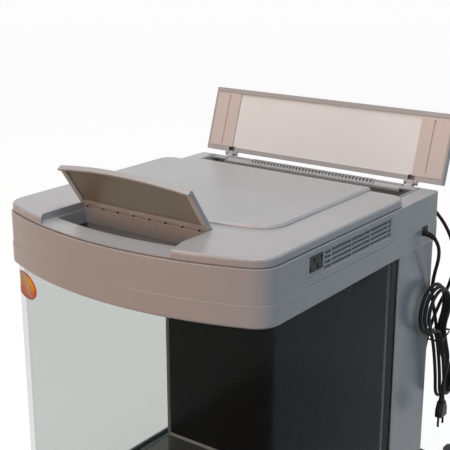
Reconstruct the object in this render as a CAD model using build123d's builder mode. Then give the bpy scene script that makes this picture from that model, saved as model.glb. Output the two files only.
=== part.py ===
from build123d import *
import math
import os

# Panoramic aquarium with a bowed front, a rear filter chamber and a moulded hood.
# Millimetres, +Z up, X to the right seen from the front, Y to the back.
# The origin is the middle of the base frame's underside.

os.makedirs("parts", exist_ok=True)

# Plan, shared by the base, the tank, the band and the hood
HALF_W = 250.0
FRONT_Y = -223.5
REAR_Y = 278.5
BOW = 55.0
CORNER_R = 39.0
REAR_CORNER_R = 8.0
BOW_RADIUS = (HALF_W**2 + BOW**2) / (2 * BOW)
BOW_CENTRE_Y = FRONT_Y - BOW + BOW_RADIUS

# Levels
BASE_H = 30.0
MAT_Z = 13.0
BRACE_W = 30.0
BRACE_H = 12.0
FLOOR_GLASS_Z = 15.0
FLOOR_Z = 23.0
GLASS_TOP_Z = 492.0
BAND_Z = 486.0
SEAM_Z = 520.0
LEDGE_Z = 570.0
CAP_Z = 584.0
PLATEAU_Z = 589.0

# Tank
GLASS_T = 8.0
GLASS_INSET = 7.4
INNER_X = HALF_W - GLASS_INSET - GLASS_T
REAR_GLASS_Y = REAR_Y - GLASS_INSET - GLASS_T
BEAD = 4.0
PARTITION_Y = 140.5
PARTITION_T = 6.0
PARTITION_H = 455.0
HOUSING_INSET = 4.0
HOUSING_FRONT_Y = 151.5
BAND_WALL = 3.0
BAND_INNER = 24.0
BAND_ROUND = 5.5

# Hood
HOOD_INSET = 1.0
HOOD_WALL = 3.0
LEDGE_FLANGE = 13.0
CAP_INSET = 3.5
CAP_SKIN = 3.0
CAP_REAR_Y = 165.0
CAP_REAR_R = 25.0
CAP_ROUND = 4.5
PLATEAU_HALF = 181.0
PLATEAU_FRONT_Y = -140.0
PLATEAU_ARC_R = 600.0
PLATEAU_CORNER_R = 45.0
WELL_HALF = 212.0
WELL_FRONT_Y = 168.0
WELL_REAR_Y = 257.5
WELL_DEPTH = 34.0
COAMING_W = 2.2
COAMING_H = 1.9
COAMING_L = 88.0
COAMING_MID_Y = 226.4

# Feeding flap and its recess
FLAP_X = -20.0
FLAP_HALF = 126.0
FLAP_HINGE_Y = -158.5
FLAP_HINGE_Z = 581.0
FLAP_OPEN = 56.0
FLAP_REACH = 94.0
FLAP_TOP = CAP_Z - FLAP_HINGE_Z
FLAP_PLATE = 2.5
SHELF_Z = 573.5
FLAP_LIP = FLAP_HINGE_Z - SHELF_Z - 0.4
POCKET_HALF = 119.0
POCKET_FRONT_Y = -233.0
POCKET_REAR_Y = -153.6
POCKET_BOTTOM_Z = 552.0
KNUCKLE_R = 2.6
KNUCKLE_PITCH = 31.4
KNUCKLE_W = 5.0
FLAP_KNUCKLES = 8
FLAP_PIN_R = 1.2

# Rear lid
LID_HINGE_Y = 289.5
LID_HINGE_Z = 573.1
LID_OPEN = 107.9
LID_HALF = 248.0
LID_NEAR = 3.0
LID_FAR = 123.2
LID_UNDER = LEDGE_Z + 0.3 - LID_HINGE_Z
LID_TOP = CAP_Z - LID_HINGE_Z
LID_WALL = 3.0
LID_SKIN = 2.5
LID_BORDER = 8.5
LID_PANEL_HALF = 189.6
LID_HINGE_X = 190.0
LID_GROOVE_X = 215.0
LID_KNUCKLE_R = 4.5
LID_PIN_R = 2.0
RUN_CLEARANCE = 0.05

# Rear vent rail and comb
RAIL_HALF = 184.0
RAIL_Z = 560.0
RAIL_BAR_Z = 566.5
RAIL_TOP_Z = 572.2
RAIL_FRONT_Y = 258.0
RAIL_BACK_Y = REAR_Y - HOOD_INSET
COMB_HALF = 129.5
COMB_SLOTS = 37
COMB_SLOT_W = 3.6

# Side vent insert and rocker switches
VENT_Y0 = -134.0
VENT_Y1 = 114.0
VENT_Z0 = SEAM_Z + 0.4
VENT_Z1 = LEDGE_Z - 3.4
VENT_X = HALF_W - HOOD_INSET
VENT_T = 3.4
RECESS_Y0 = -127.0
RECESS_Y1 = 111.0
RECESS_Z0 = 531.0
RECESS_Z1 = 563.0
LOUVRE_ROWS = 4
LOUVRE_POSTS = [-86.5, -67.0, -10.0, 44.6, 100.5]
ROCKER_Y = [-118.0, -98.5]
ROCKER_Z = 549.6
ROCKER_W = 11.4
ROCKER_HALF_H = 8.0
ROCKER_AXIS_X = 246.0
ROCKER_PIN_R = 1.2
SWITCH_W = 16.0
SWITCH_H = 22.6

# Lamp
LAMP_HALF_X = 168.0
LAMP_HALF_Y = 56.0
LAMP_Z = 557.0
LAMP_TOP_Z = PLATEAU_Z - CAP_SKIN
TUBE_R = 8.0
TUBE_HALF = 148.0
TUBE_Y = 27.0
TUBE_Z = 571.0

# Filter chamber
DIVIDER_X = [-70.0, 110.0]
DIVIDER_T = 4.0
DIVIDER_TOP_Z = 430.0
CHAMBER_Y0 = PARTITION_Y + PARTITION_T
BASKET_X = -152.0
BASKET_W = 150.0
BASKET_D = 108.0
BASKET_H = 210.0
BASKET_WALL = 3.0
BASKET_FOOT = 8.0
CHAMBER_MID_Y = (CHAMBER_Y0 + REAR_GLASS_Y) / 2
PUMP_X = 172.0
PUMP_W = 62.0
PUMP_D = 62.0
PUMP_H = 58.0
ROTOR_R = 9.0
SHAFT_R = 1.5
ROTOR_Z = FLOOR_Z + 30.0
RISER_R = 8.0
RISER_WALL = 2.0
OUTLET_Z = 440.0
RISER_Y = CHAMBER_MID_Y

# Supply cords
CORD_D = 6.0
WOUND_SIDES = 8
GLAND_Y = 228.0
GLAND_Z = 512.5
NOTCH_W = 20.0
NOTCH_H = 15.0
CORD_A_Z = 510.0
REAR_GLAND_X = 234.0
REAR_GLAND_Z = 532.0

# Hank of the first cord, seen from the right: a plane parallel to the tank's side
HANK_X = 256.0
HANK_Y = 272.5
HANK_Z = 318.0
HANK_TILT = 21.3
HANK_LOOPS = 3
HANK_PITCH = 6.6
HANK_WAIST = 13.2
HANK_SHRINK = 1.6
HANK_TOP_R = 45.0
HANK_TOP_REACH = 57.0
HANK_LOW_R = 28.0
HANK_LOW_REACH = 112.0
TIE_W = 3.6
TIE_T = 0.9

# Coil of the second cord
COIL_X = 200.0
COIL_Y = 352.0
COIL_R = 33.0
COIL_LOOPS = 4
COIL_PITCH = 6.6
COIL_Z = CORD_D / 2 + COIL_PITCH * COIL_LOOPS

# Plugs
RELIEF_R = 4.0
RELIEF_L = 14.0
PLUG_W = 27.0
PLUG_T = 14.0
PLUG_L = 26.0
PIN_PITCH = 18.6
PIN_R = 2.0
PIN_L = 19.0


def plan(inset, rear_y=None, rear_r=None):
    """Return the common plan, moved in by inset: flat sides and rear, bowed front, round corners."""
    half = HALF_W - inset
    bow_r = BOW_RADIUS - inset
    side_y = BOW_CENTRE_Y - math.sqrt(bow_r**2 - half**2)
    back_y = REAR_Y - inset if rear_y is None else rear_y
    back_r = max(REAR_CORNER_R - inset, 0.5) if rear_r is None else rear_r
    with BuildSketch(Plane.XY) as outline:
        with BuildLine():
            Polyline((-half, side_y), (-half, back_y), (half, back_y), (half, side_y))
            ThreePointArc((half, side_y), (0, BOW_CENTRE_Y - bow_r), (-half, side_y))
        make_face()
        fillet(outline.vertices().group_by(Axis.Y)[0], CORNER_R - inset)
        fillet(outline.vertices().group_by(Axis.Y)[-1], back_r)
    return outline.sketch


def bow_y(x, setback):
    """Return the Y of the bowed front at x, moved back by setback along the bow's radius."""
    return BOW_CENTRE_Y - math.sqrt((BOW_RADIUS - setback) ** 2 - x**2)


def hinge_plane(x, y, z, opened):
    """Return the plane of a cover hinged along X: local X is -X, local Y runs from the hinge to
    the free edge, and local Z is the cover's outer side. It is opened by so many degrees."""
    turn = math.radians(opened)
    return Plane(origin=(x, y, z), x_dir=(-1, 0, 0), z_dir=(0, math.sin(turn), math.cos(turn)))


def save(builder, name):
    builder.part.label = name
    export_step(builder.part, f"parts/{name}.step")


def corner_radii(points):
    """Return the radius of a tube's arc at each inner point: 0.45 of the shorter run over tan(half turn)."""
    radii = []
    for before, here, after in zip(points, points[1:], points[2:]):
        run_in = Vector(*here) - Vector(*before)
        run_out = Vector(*after) - Vector(*here)
        half_turn = math.radians(run_in.get_angle(run_out)) / 2
        radii.append(0.45 * min(run_in.length, run_out.length) / math.tan(half_turn))
    return radii


def tube(name, points, diameter):
    """Return a round tube along straight runs joined by tangent arcs, and print its measures."""
    radii = corner_radii(points)
    with BuildPart() as cord:
        with BuildLine() as path:
            FilletPolyline(*points, radius=radii)
        line = path.wire()
        with BuildSketch(Plane(origin=line @ 0, z_dir=line % 0)):
            Circle(diameter / 2)
        sweep(path=line)
    expected = math.pi * diameter**2 / 4 * line.length
    print(name, "length", round(line.length, 1), "least radius", round(min(radii), 1),
          "volume ratio", round(cord.part.volume / expected, 4))
    return cord


# Base frame: a moulded plinth with a rebate for the tank, open underneath but for a middle brace
with BuildPart() as base_frame:
    with BuildSketch():
        add(plan(0))
    extrude(amount=BASE_H)
    chamfer(base_frame.faces().sort_by(Axis.Z)[-1].outer_wire().edges(), 3.0)
    chamfer(base_frame.faces().sort_by(Axis.Z)[0].outer_wire().edges(), 1.5)
    with BuildSketch(Plane.XY.offset(MAT_Z)):
        add(plan(GLASS_INSET - 0.4))
    extrude(amount=BASE_H, mode=Mode.SUBTRACT)
    with BuildSketch():
        add(plan(BAND_INNER))
    extrude(amount=BASE_H, mode=Mode.SUBTRACT)
    with Locations((0, 0, BRACE_H / 2)):
        Box(2 * HALF_W - BAND_INNER, BRACE_W, BRACE_H)
save(base_frame, "base_frame")

# Rubber strip between the plinth and the floor glass
with BuildPart() as floor_mat:
    with BuildSketch(Plane.XY.offset(MAT_Z)):
        add(plan(GLASS_INSET))
        add(plan(BAND_INNER), mode=Mode.SUBTRACT)
    extrude(amount=FLOOR_GLASS_Z - MAT_Z)
save(floor_mat, "floor_mat")

# Floor glass
with BuildPart() as floor_glass:
    with BuildSketch(Plane.XY.offset(FLOOR_GLASS_Z)):
        add(plan(GLASS_INSET))
    extrude(amount=FLOOR_Z - FLOOR_GLASS_Z)
save(floor_glass, "floor_glass")

# One sheet of glass bent round both front corners
with BuildPart() as bent_front_glass:
    with BuildSketch(Plane.XY.offset(FLOOR_Z)):
        add(plan(GLASS_INSET, rear_y=REAR_GLASS_Y, rear_r=0.01))
        add(plan(GLASS_INSET + GLASS_T, rear_y=REAR_GLASS_Y + 5, rear_r=0.01), mode=Mode.SUBTRACT)
    extrude(amount=GLASS_TOP_Z - FLOOR_Z)
save(bent_front_glass, "bent_front_glass")

# Rear pane of the filter chamber
with BuildPart() as rear_glass:
    with BuildSketch(Plane.XY.offset(FLOOR_Z)):
        with Locations((0, REAR_GLASS_Y + GLASS_T / 2)):
            Rectangle(2 * (HALF_W - GLASS_INSET), GLASS_T)
    extrude(amount=GLASS_TOP_Z - FLOOR_Z)
save(rear_glass, "rear_glass")

# Black partition with overflow slots at the top left and a hole for the return pipe
with BuildPart() as partition_panel:
    with BuildSketch(Plane.XY.offset(FLOOR_Z)):
        with Locations((0, PARTITION_Y + PARTITION_T / 2)):
            Rectangle(2 * INNER_X, PARTITION_T)
    extrude(amount=PARTITION_H)
    with BuildSketch(Plane.XZ.offset(-PARTITION_Y)):
        with Locations((-165, 452)):
            with GridLocations(9, 0, 13, 1):
                SlotOverall(34, 4.5, rotation=90)
        with Locations((PUMP_X, OUTLET_Z)):
            Circle(RISER_R + 0.1)
    extrude(amount=-2 * PARTITION_T, both=True, mode=Mode.SUBTRACT)
save(partition_panel, "partition_panel")

# Silicone beads: round the floor of the show chamber and up the four inner corners
with BuildPart() as silicone_beads:
    with BuildSketch(Plane.XY.offset(FLOOR_Z)):
        add(plan(GLASS_INSET + GLASS_T, rear_y=PARTITION_Y, rear_r=0.01))
        add(plan(GLASS_INSET + GLASS_T + BEAD, rear_y=PARTITION_Y - BEAD, rear_r=0.01), mode=Mode.SUBTRACT)
    extrude(amount=BEAD)
    chamfer(silicone_beads.faces().sort_by(Axis.Z)[-1].inner_wires()[0].edges(), BEAD - 0.5)
    with BuildSketch(Plane.XY.offset(FLOOR_Z + BEAD)) as corner_beads:
        for side in (-1, 1):
            for face_y in (PARTITION_Y, REAR_GLASS_Y):
                with BuildLine():
                    Polyline((side * INNER_X, face_y), (side * (INNER_X - BEAD), face_y),
                             (side * INNER_X, face_y - BEAD), close=True)
                make_face()
    extrude(amount=PARTITION_H - 2 * BEAD)
save(silicone_beads, "silicone_beads")

# Silver housing that wraps the filter chamber's sides and back
with BuildPart() as rear_housing:
    with BuildSketch(Plane.XY.offset(BASE_H)):
        add(plan(HOUSING_INSET, rear_r=6))
        add(plan(GLASS_INSET - 0.3, rear_r=0.5), mode=Mode.SUBTRACT)
        with Locations((0, HOUSING_FRONT_Y - 300)):
            Rectangle(600, 600, mode=Mode.SUBTRACT)
    extrude(amount=BAND_Z - BASE_H)
    front_edges = rear_housing.edges().filter_by(Axis.Z).group_by(Axis.Y)[0]
    fillet(front_edges.filter_by(lambda edge: abs(edge.center().X) > HALF_W - HOUSING_INSET - 1), 1.5)
save(rear_housing, "rear_housing")

# Band round the top of the tank: rolled lower edge, glass channel, seat for the hood, cord notch
with BuildPart() as top_band:
    with BuildSketch(Plane.XY.offset(BAND_Z)):
        add(plan(0))
    extrude(amount=SEAM_Z - BAND_Z)
    fillet(top_band.faces().sort_by(Axis.Z)[0].outer_wire().edges(), BAND_ROUND)
    fillet(top_band.faces().sort_by(Axis.Z)[-1].outer_wire().edges(), 0.8)
    with BuildSketch(Plane.XY.offset(GLASS_TOP_Z + 4)):
        add(plan(BAND_WALL))
    extrude(amount=BASE_H, mode=Mode.SUBTRACT)
    with BuildSketch(Plane.XY.offset(BAND_Z)):
        add(plan(GLASS_INSET - 0.4))
        add(plan(BAND_INNER - 3), mode=Mode.SUBTRACT)
    extrude(amount=GLASS_TOP_Z - BAND_Z, mode=Mode.SUBTRACT)
    with BuildSketch(Plane.XY.offset(BAND_Z)):
        add(plan(BAND_INNER))
    extrude(amount=SEAM_Z - BAND_Z, mode=Mode.SUBTRACT)
    with Locations((HALF_W, GLAND_Y, GLAND_Z)):
        Box(4 * BAND_WALL, NOTCH_W, NOTCH_H, mode=Mode.SUBTRACT)
save(top_band, "top_band")

# Rubber gland that fills the notch and lets the first cord out
with BuildPart() as side_cord_gland:
    with Locations((HALF_W - BAND_WALL / 2 - 0.6, GLAND_Y, GLAND_Z - 0.1)):
        Box(BAND_WALL + 2, NOTCH_W - 0.4, NOTCH_H - 0.4)
    with BuildSketch(Plane.YZ.offset(HALF_W)):
        with Locations((GLAND_Y - 2, CORD_A_Z)):
            Circle(CORD_D / 2 + 1.5)
    extrude(amount=2)
    with BuildSketch(Plane.YZ.offset(HALF_W - 10)):
        with Locations((GLAND_Y - 2, CORD_A_Z)):
            Circle(CORD_D / 2)
    extrude(amount=20, mode=Mode.SUBTRACT)
save(side_cord_gland, "side_cord_gland")

# Hood frame: side walls, ledge under the cap, rear deck round the service well
with BuildPart() as hood_frame:
    with BuildSketch(Plane.XY.offset(SEAM_Z)):
        add(plan(HOOD_INSET))
    extrude(amount=LEDGE_Z - SEAM_Z)
    fillet(hood_frame.faces().sort_by(Axis.Z)[-1].outer_wire().edges(), 0.8)
    with BuildSketch(Plane.XY.offset(SEAM_Z)):
        add(plan(HOOD_INSET + HOOD_WALL))
    extrude(amount=LEDGE_Z - SEAM_Z - HOOD_WALL, mode=Mode.SUBTRACT)
    with BuildSketch(Plane.XY.offset(LEDGE_Z - HOOD_WALL)):
        add(plan(LEDGE_FLANGE, rear_y=CAP_REAR_Y - 12, rear_r=20))
    extrude(amount=HOOD_WALL, mode=Mode.SUBTRACT)
    # skirt that drops inside the band
    with BuildSketch(Plane.XY.offset(SEAM_Z - 12)):
        add(plan(BAND_WALL + 0.5))
        add(plan(BAND_WALL + 3), mode=Mode.SUBTRACT)
    extrude(amount=17)
    with Locations((HALF_W - BAND_WALL - 2, GLAND_Y, SEAM_Z - 6)):
        Box(8, NOTCH_W + 0.4, 12, mode=Mode.SUBTRACT)
    # service well with coamings at its sides
    with BuildSketch(Plane.XY.offset(LEDGE_Z - WELL_DEPTH)):
        with Locations((0, (WELL_FRONT_Y + RAIL_BACK_Y - HOOD_WALL) / 2)):
            Rectangle(2 * (WELL_HALF + 2.5), RAIL_BACK_Y - HOOD_WALL - WELL_FRONT_Y)
            Rectangle(2 * WELL_HALF, RAIL_BACK_Y, mode=Mode.SUBTRACT)
    extrude(amount=WELL_DEPTH)
    for side in (-1, 1):
        with Locations((side * LID_GROOVE_X, COAMING_MID_Y, LEDGE_Z)):
            Box(COAMING_W, COAMING_L, 2 * COAMING_H)
    with BuildSketch(Plane.XY.offset(LEDGE_Z - HOOD_WALL)):
        with Locations((0, (WELL_FRONT_Y + WELL_REAR_Y) / 2)):
            Rectangle(2 * WELL_HALF, WELL_REAR_Y - WELL_FRONT_Y)
        with Locations((0, (WELL_REAR_Y + RAIL_BACK_Y) / 2)):
            Rectangle(2 * (RAIL_HALF + 0.3), RAIL_BACK_Y - WELL_REAR_Y + 2)
    extrude(amount=2 * HOOD_WALL, mode=Mode.SUBTRACT)
    with Locations((0, RAIL_BACK_Y, (RAIL_Z + LEDGE_Z) / 2)):
        Box(2 * (RAIL_HALF + 0.3), 3 * HOOD_WALL, LEDGE_Z - RAIL_Z, mode=Mode.SUBTRACT)
    # side opening for the vent insert
    with Locations((VENT_X, (VENT_Y0 + VENT_Y1) / 2, (VENT_Z0 + VENT_Z1) / 2 - 0.2)):
        Box(3 * HOOD_WALL, VENT_Y1 - VENT_Y0, VENT_Z1 - VENT_Z0 + 0.8, mode=Mode.SUBTRACT)
    # rear hole for the second cord
    with BuildSketch(Plane.XZ.offset(-RAIL_BACK_Y + 20)):
        with Locations((REAR_GLAND_X, REAR_GLAND_Z)):
            Circle(6)
    extrude(amount=-30, mode=Mode.SUBTRACT)
save(hood_frame, "hood_frame")

# Outline of the flap's recess, from the hinge forward through the front edge
with BuildSketch() as recess_outline:
    with BuildLine():
        Polyline((FLAP_X - FLAP_HALF, FLAP_HINGE_Y + KNUCKLE_R + 0.6),
                 (FLAP_X + FLAP_HALF, FLAP_HINGE_Y + KNUCKLE_R + 0.6),
                 (FLAP_X + FLAP_HALF + 0.5, -226), (FLAP_X + FLAP_HALF + 13, -268),
                 (FLAP_X + FLAP_HALF + 13, -300), (FLAP_X - FLAP_HALF + 24, -300),
                 (FLAP_X - FLAP_HALF + 24, -276), (FLAP_X - FLAP_HALF, -244), close=True)
    make_face()

# Opening of the feeding pocket: its front edge follows the bow
with BuildSketch() as pocket_outline:
    with BuildLine():
        Polyline((FLAP_X - POCKET_HALF, POCKET_FRONT_Y + 12), (FLAP_X - POCKET_HALF, POCKET_REAR_Y - 8),
                 (FLAP_X + POCKET_HALF, POCKET_REAR_Y - 8), (FLAP_X + POCKET_HALF, POCKET_FRONT_Y + 12))
        ThreePointArc((FLAP_X + POCKET_HALF, POCKET_FRONT_Y + 12), (FLAP_X, POCKET_FRONT_Y),
                      (FLAP_X - POCKET_HALF, POCKET_FRONT_Y + 12))
    make_face()

# Plateau outline, bowed in front like the hood
with BuildSketch() as plateau_outline:
    with BuildLine():
        side_y = PLATEAU_FRONT_Y + PLATEAU_ARC_R - math.sqrt(PLATEAU_ARC_R**2 - PLATEAU_HALF**2)
        Polyline((-PLATEAU_HALF, side_y), (-PLATEAU_HALF, CAP_REAR_Y), (PLATEAU_HALF, CAP_REAR_Y),
                 (PLATEAU_HALF, side_y))
        ThreePointArc((PLATEAU_HALF, side_y), (0, PLATEAU_FRONT_Y), (-PLATEAU_HALF, side_y))
    make_face()
    fillet(plateau_outline.vertices().group_by(Axis.Y)[0], PLATEAU_CORNER_R)

# Hood cap: rounded cover with a raised plateau, the flap's recess and the feeding pocket
with BuildPart() as hood_cap:
    with BuildSketch(Plane.XY.offset(LEDGE_Z + 2)):
        add(plan(CAP_INSET, rear_y=CAP_REAR_Y, rear_r=CAP_REAR_R))
    extrude(amount=CAP_Z - LEDGE_Z - 2)
    fillet(hood_cap.faces().sort_by(Axis.Z)[-1].outer_wire().edges(), CAP_ROUND)
    with BuildSketch(Plane.XY.offset(CAP_Z - 0.5)):
        add(plateau_outline.sketch)
    extrude(amount=PLATEAU_Z - CAP_Z + 0.5)
    plateau_edges = hood_cap.faces().sort_by(Axis.Z)[-1].outer_wire().edges()
    chamfer(plateau_edges.filter_by(lambda edge: edge.center().Y < CAP_REAR_Y - 1), 3.5)
    with BuildSketch(Plane.XY.offset(LEDGE_Z)):
        add(plan(CAP_INSET + 2.5, rear_y=CAP_REAR_Y, rear_r=CAP_REAR_R - 2))
    extrude(amount=2)
    with BuildSketch(Plane.XY.offset(LEDGE_Z)):
        add(plan(CAP_INSET + 6, rear_y=CAP_REAR_Y - CAP_SKIN, rear_r=CAP_REAR_R - 3))
    extrude(amount=CAP_Z - CAP_SKIN - LEDGE_Z, mode=Mode.SUBTRACT)
    with BuildSketch(Plane.XY.offset(CAP_Z - CAP_SKIN - 0.5)):
        add(plateau_outline.sketch)
        offset(amount=-8, mode=Mode.REPLACE)
    extrude(amount=PLATEAU_Z - CAP_Z + 0.5, mode=Mode.SUBTRACT)
    # block that carries the shelf and the recess
    with BuildSketch(Plane.XY.offset(LEDGE_Z)):
        add(plan(CAP_INSET + 2.5, rear_y=FLAP_HINGE_Y + 7, rear_r=0.01))
        with Locations((FLAP_X, -220)):
            Rectangle(2 * FLAP_HALF + 32, 140, mode=Mode.INTERSECT)
    extrude(amount=CAP_Z - CAP_SKIN - LEDGE_Z)
    with BuildSketch(Plane.XY.offset(SHELF_Z)):
        add(recess_outline.sketch)
    extrude(amount=CAP_Z - SHELF_Z + 2, mode=Mode.SUBTRACT)
    # skirt of the pocket
    with BuildSketch(Plane.XY.offset(POCKET_BOTTOM_Z)):
        add(pocket_outline.sketch)
        offset(amount=2.5, kind=Kind.INTERSECTION, mode=Mode.REPLACE)
    extrude(amount=LEDGE_Z + 1 - POCKET_BOTTOM_Z)
    with BuildSketch(Plane.XY.offset(POCKET_BOTTOM_Z)):
        add(pocket_outline.sketch)
    extrude(amount=CAP_Z - POCKET_BOTTOM_Z, mode=Mode.SUBTRACT)
save(hood_cap, "hood_cap")

# Hinge strip screwed to the rear of the recess, with a knuckle between each pair on the flap
knuckle_x0 = FLAP_X - KNUCKLE_PITCH * (FLAP_KNUCKLES - 1) / 2 - 6
FLAP_KNUCKLE_X = [knuckle_x0 + KNUCKLE_PITCH * i for i in range(FLAP_KNUCKLES)]
STRIP_GAP = KNUCKLE_W + 0.8
with BuildPart() as flap_hinge_strip:
    with Locations((FLAP_X, FLAP_HINGE_Y + 1.1, (SHELF_Z + FLAP_HINGE_Z) / 2)):
        Box(2 * FLAP_HALF - 0.6, 3.0, FLAP_HINGE_Z - SHELF_Z)
    with BuildSketch(Plane.YZ.offset(FLAP_X - FLAP_HALF + 0.3)):
        with Locations((FLAP_HINGE_Y, FLAP_HINGE_Z)):
            Circle(KNUCKLE_R)
    extrude(amount=2 * FLAP_HALF - 0.6)
    for x in FLAP_KNUCKLE_X:
        with Locations((x, FLAP_HINGE_Y, FLAP_HINGE_Z)):
            Box(STRIP_GAP, 6.6, 6.6, mode=Mode.SUBTRACT)
    with BuildSketch(Plane.YZ.offset(FLAP_X - FLAP_HALF)):
        with Locations((FLAP_HINGE_Y, FLAP_HINGE_Z)):
            Circle(FLAP_PIN_R)
    extrude(amount=2 * FLAP_HALF, mode=Mode.SUBTRACT)
save(flap_hinge_strip, "flap_hinge_strip")

# Pin of the flap's hinge
with BuildPart() as flap_hinge_pin:
    with BuildSketch(Plane.YZ.offset(FLAP_X - FLAP_HALF + 0.5)):
        with Locations((FLAP_HINGE_Y, FLAP_HINGE_Z)):
            Circle(FLAP_PIN_R)
    extrude(amount=2 * FLAP_HALF - 1)
save(flap_hinge_pin, "flap_hinge_pin")


def flap_outline(margin_side, margin_near, margin_far):
    """Return the flap's outline in its own plane: straight at the hinge, bowed at the lip."""
    half = FLAP_HALF - 0.5 - margin_side
    far = FLAP_REACH - margin_far
    drop = 11.0 * (half / FLAP_HALF) ** 2
    with BuildSketch(Plane.XY) as outline:
        with BuildLine():
            Polyline((-half, far - drop), (-half, margin_near), (half, margin_near), (half, far - drop))
            ThreePointArc((half, far - drop), (0, far), (-half, far - drop))
        make_face()
    return outline.sketch


# Feeding flap: thin plate with a turned-down bowed lip, a raised border and hinge knuckles
flap_plane = hinge_plane(FLAP_X, FLAP_HINGE_Y, FLAP_HINGE_Z, FLAP_OPEN)
with BuildPart() as feed_flap:
    with BuildSketch(flap_plane.offset(-FLAP_LIP)):
        add(flap_outline(0, 3.4, 0))
    extrude(amount=FLAP_TOP + FLAP_LIP)
    fillet(feed_flap.edges().filter_by(GeomType.CIRCLE).sort_by(Axis.Z)[-1:], 2.5)
    with BuildSketch(flap_plane.offset(-FLAP_LIP)):
        add(flap_outline(-1, 0, 3.2))
    extrude(amount=FLAP_LIP - 3.2, mode=Mode.SUBTRACT)
    with BuildSketch(flap_plane.offset(-3.2)):
        add(flap_outline(9.5, 11, 7))
    extrude(amount=FLAP_TOP - FLAP_PLATE + 3.2, mode=Mode.SUBTRACT)
    for x in FLAP_KNUCKLE_X:
        with BuildSketch(Plane.YZ.offset(x - KNUCKLE_W / 2)):
            with Locations((FLAP_HINGE_Y, FLAP_HINGE_Z)):
                Circle(KNUCKLE_R)
        extrude(amount=KNUCKLE_W)
        with BuildSketch(flap_plane.offset(-1.2)):
            with Locations((FLAP_X - x, 2.4)):
                Rectangle(KNUCKLE_W, 4.8)
        extrude(amount=3.2)
    with BuildSketch(Plane.YZ.offset(FLAP_X - FLAP_HALF)):
        with Locations((FLAP_HINGE_Y, FLAP_HINGE_Z)):
            Circle(FLAP_PIN_R + RUN_CLEARANCE)
    extrude(amount=2 * FLAP_HALF, mode=Mode.SUBTRACT)
save(feed_flap, "feed_flap")

# Panel let into the flap's underside
with BuildPart() as feed_flap_panel:
    with BuildSketch(flap_plane.offset(FLAP_TOP - FLAP_PLATE - 1.5)):
        add(flap_outline(11, 12.5, 8.5))
    extrude(amount=1.5)
save(feed_flap_panel, "feed_flap_panel")

# Rear lid: shell with a border turned in round its underside
lid_plane = hinge_plane(0, LID_HINGE_Y, LID_HINGE_Z, LID_OPEN)
LID_MID = (LID_NEAR + LID_FAR) / 2
LID_REACH = LID_FAR - LID_NEAR
with BuildPart() as rear_lid:
    with BuildSketch(lid_plane.offset(LID_UNDER)):
        with Locations((0, LID_MID)):
            RectangleRounded(2 * LID_HALF, LID_REACH, 2.5)
    extrude(amount=LID_TOP - LID_UNDER)
    outer_face = rear_lid.faces().sort_by(Axis(lid_plane.origin, lid_plane.z_dir))[-1]
    fillet(outer_face.outer_wire().edges(), 2.0)
    with BuildSketch(lid_plane.offset(LID_UNDER + 2)):
        with Locations((0, LID_MID)):
            Rectangle(2 * (LID_HALF - LID_WALL), LID_REACH - 2 * LID_WALL)
    extrude(amount=LID_TOP - LID_SKIN - LID_UNDER - 2, mode=Mode.SUBTRACT)
    with BuildSketch(lid_plane.offset(LID_UNDER)):
        with Locations((0, LID_MID)):
            Rectangle(2 * (LID_HALF - LID_WALL), LID_REACH - 2 * LID_BORDER)
    extrude(amount=3, mode=Mode.SUBTRACT)
    for x in (-LID_HINGE_X, LID_HINGE_X):
        with BuildSketch(Plane.YZ.offset(x - 12)):
            with Locations((LID_HINGE_Y, LID_HINGE_Z)):
                Circle(LID_KNUCKLE_R)
        extrude(amount=24)
        with BuildSketch(lid_plane.offset(-LID_KNUCKLE_R + 1.7)):
            with Locations((-x, LID_NEAR + 0.2)):
                Rectangle(24, 6)
        extrude(amount=2 * LID_KNUCKLE_R - 2)
        with BuildSketch(lid_plane.offset(-8)):
            with Locations((-x, 3.6)):
                Rectangle(13, 17.2)
        extrude(amount=14, mode=Mode.SUBTRACT)
    with BuildSketch(Plane.YZ.offset(-LID_HALF)):
        with Locations((LID_HINGE_Y, LID_HINGE_Z)):
            Circle(LID_PIN_R + RUN_CLEARANCE)
    extrude(amount=2 * LID_HALF, mode=Mode.SUBTRACT)
save(rear_lid, "rear_lid")

# Middle panel of the lid's underside
with BuildPart() as lid_panel:
    with BuildSketch(lid_plane.offset(LID_UNDER + 2.1)):
        with Locations((0, LID_MID)):
            Rectangle(2 * LID_PANEL_HALF, LID_REACH - 2 * LID_WALL - 0.4)
        for x in (-LID_HINGE_X, LID_HINGE_X):
            with Locations((-x, 5)):
                Rectangle(15, 15, mode=Mode.SUBTRACT)
    extrude(amount=1.6)
save(lid_panel, "lid_panel")

# End covers of the lid's underside, each with a groove that takes the coaming
with BuildPart() as lid_end_covers:
    cover_w = LID_HALF - LID_WALL - LID_PANEL_HALF - 0.8
    cover_x = LID_PANEL_HALF + 0.4 + cover_w / 2
    with BuildSketch(lid_plane.offset(LID_UNDER + 0.2)):
        for side in (-1, 1):
            with Locations((side * cover_x, LID_MID)):
                Rectangle(cover_w, LID_REACH - 2 * LID_BORDER - 0.6)
    extrude(amount=3.4)
    with BuildSketch(lid_plane.offset(LID_UNDER + 0.2)):
        for side in (-1, 1):
            with Locations((side * LID_GROOVE_X, LID_MID)):
                Rectangle(3.2, LID_REACH - 2 * LID_BORDER - 10)
    extrude(amount=1.8, mode=Mode.SUBTRACT)
save(lid_end_covers, "lid_end_covers")

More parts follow.
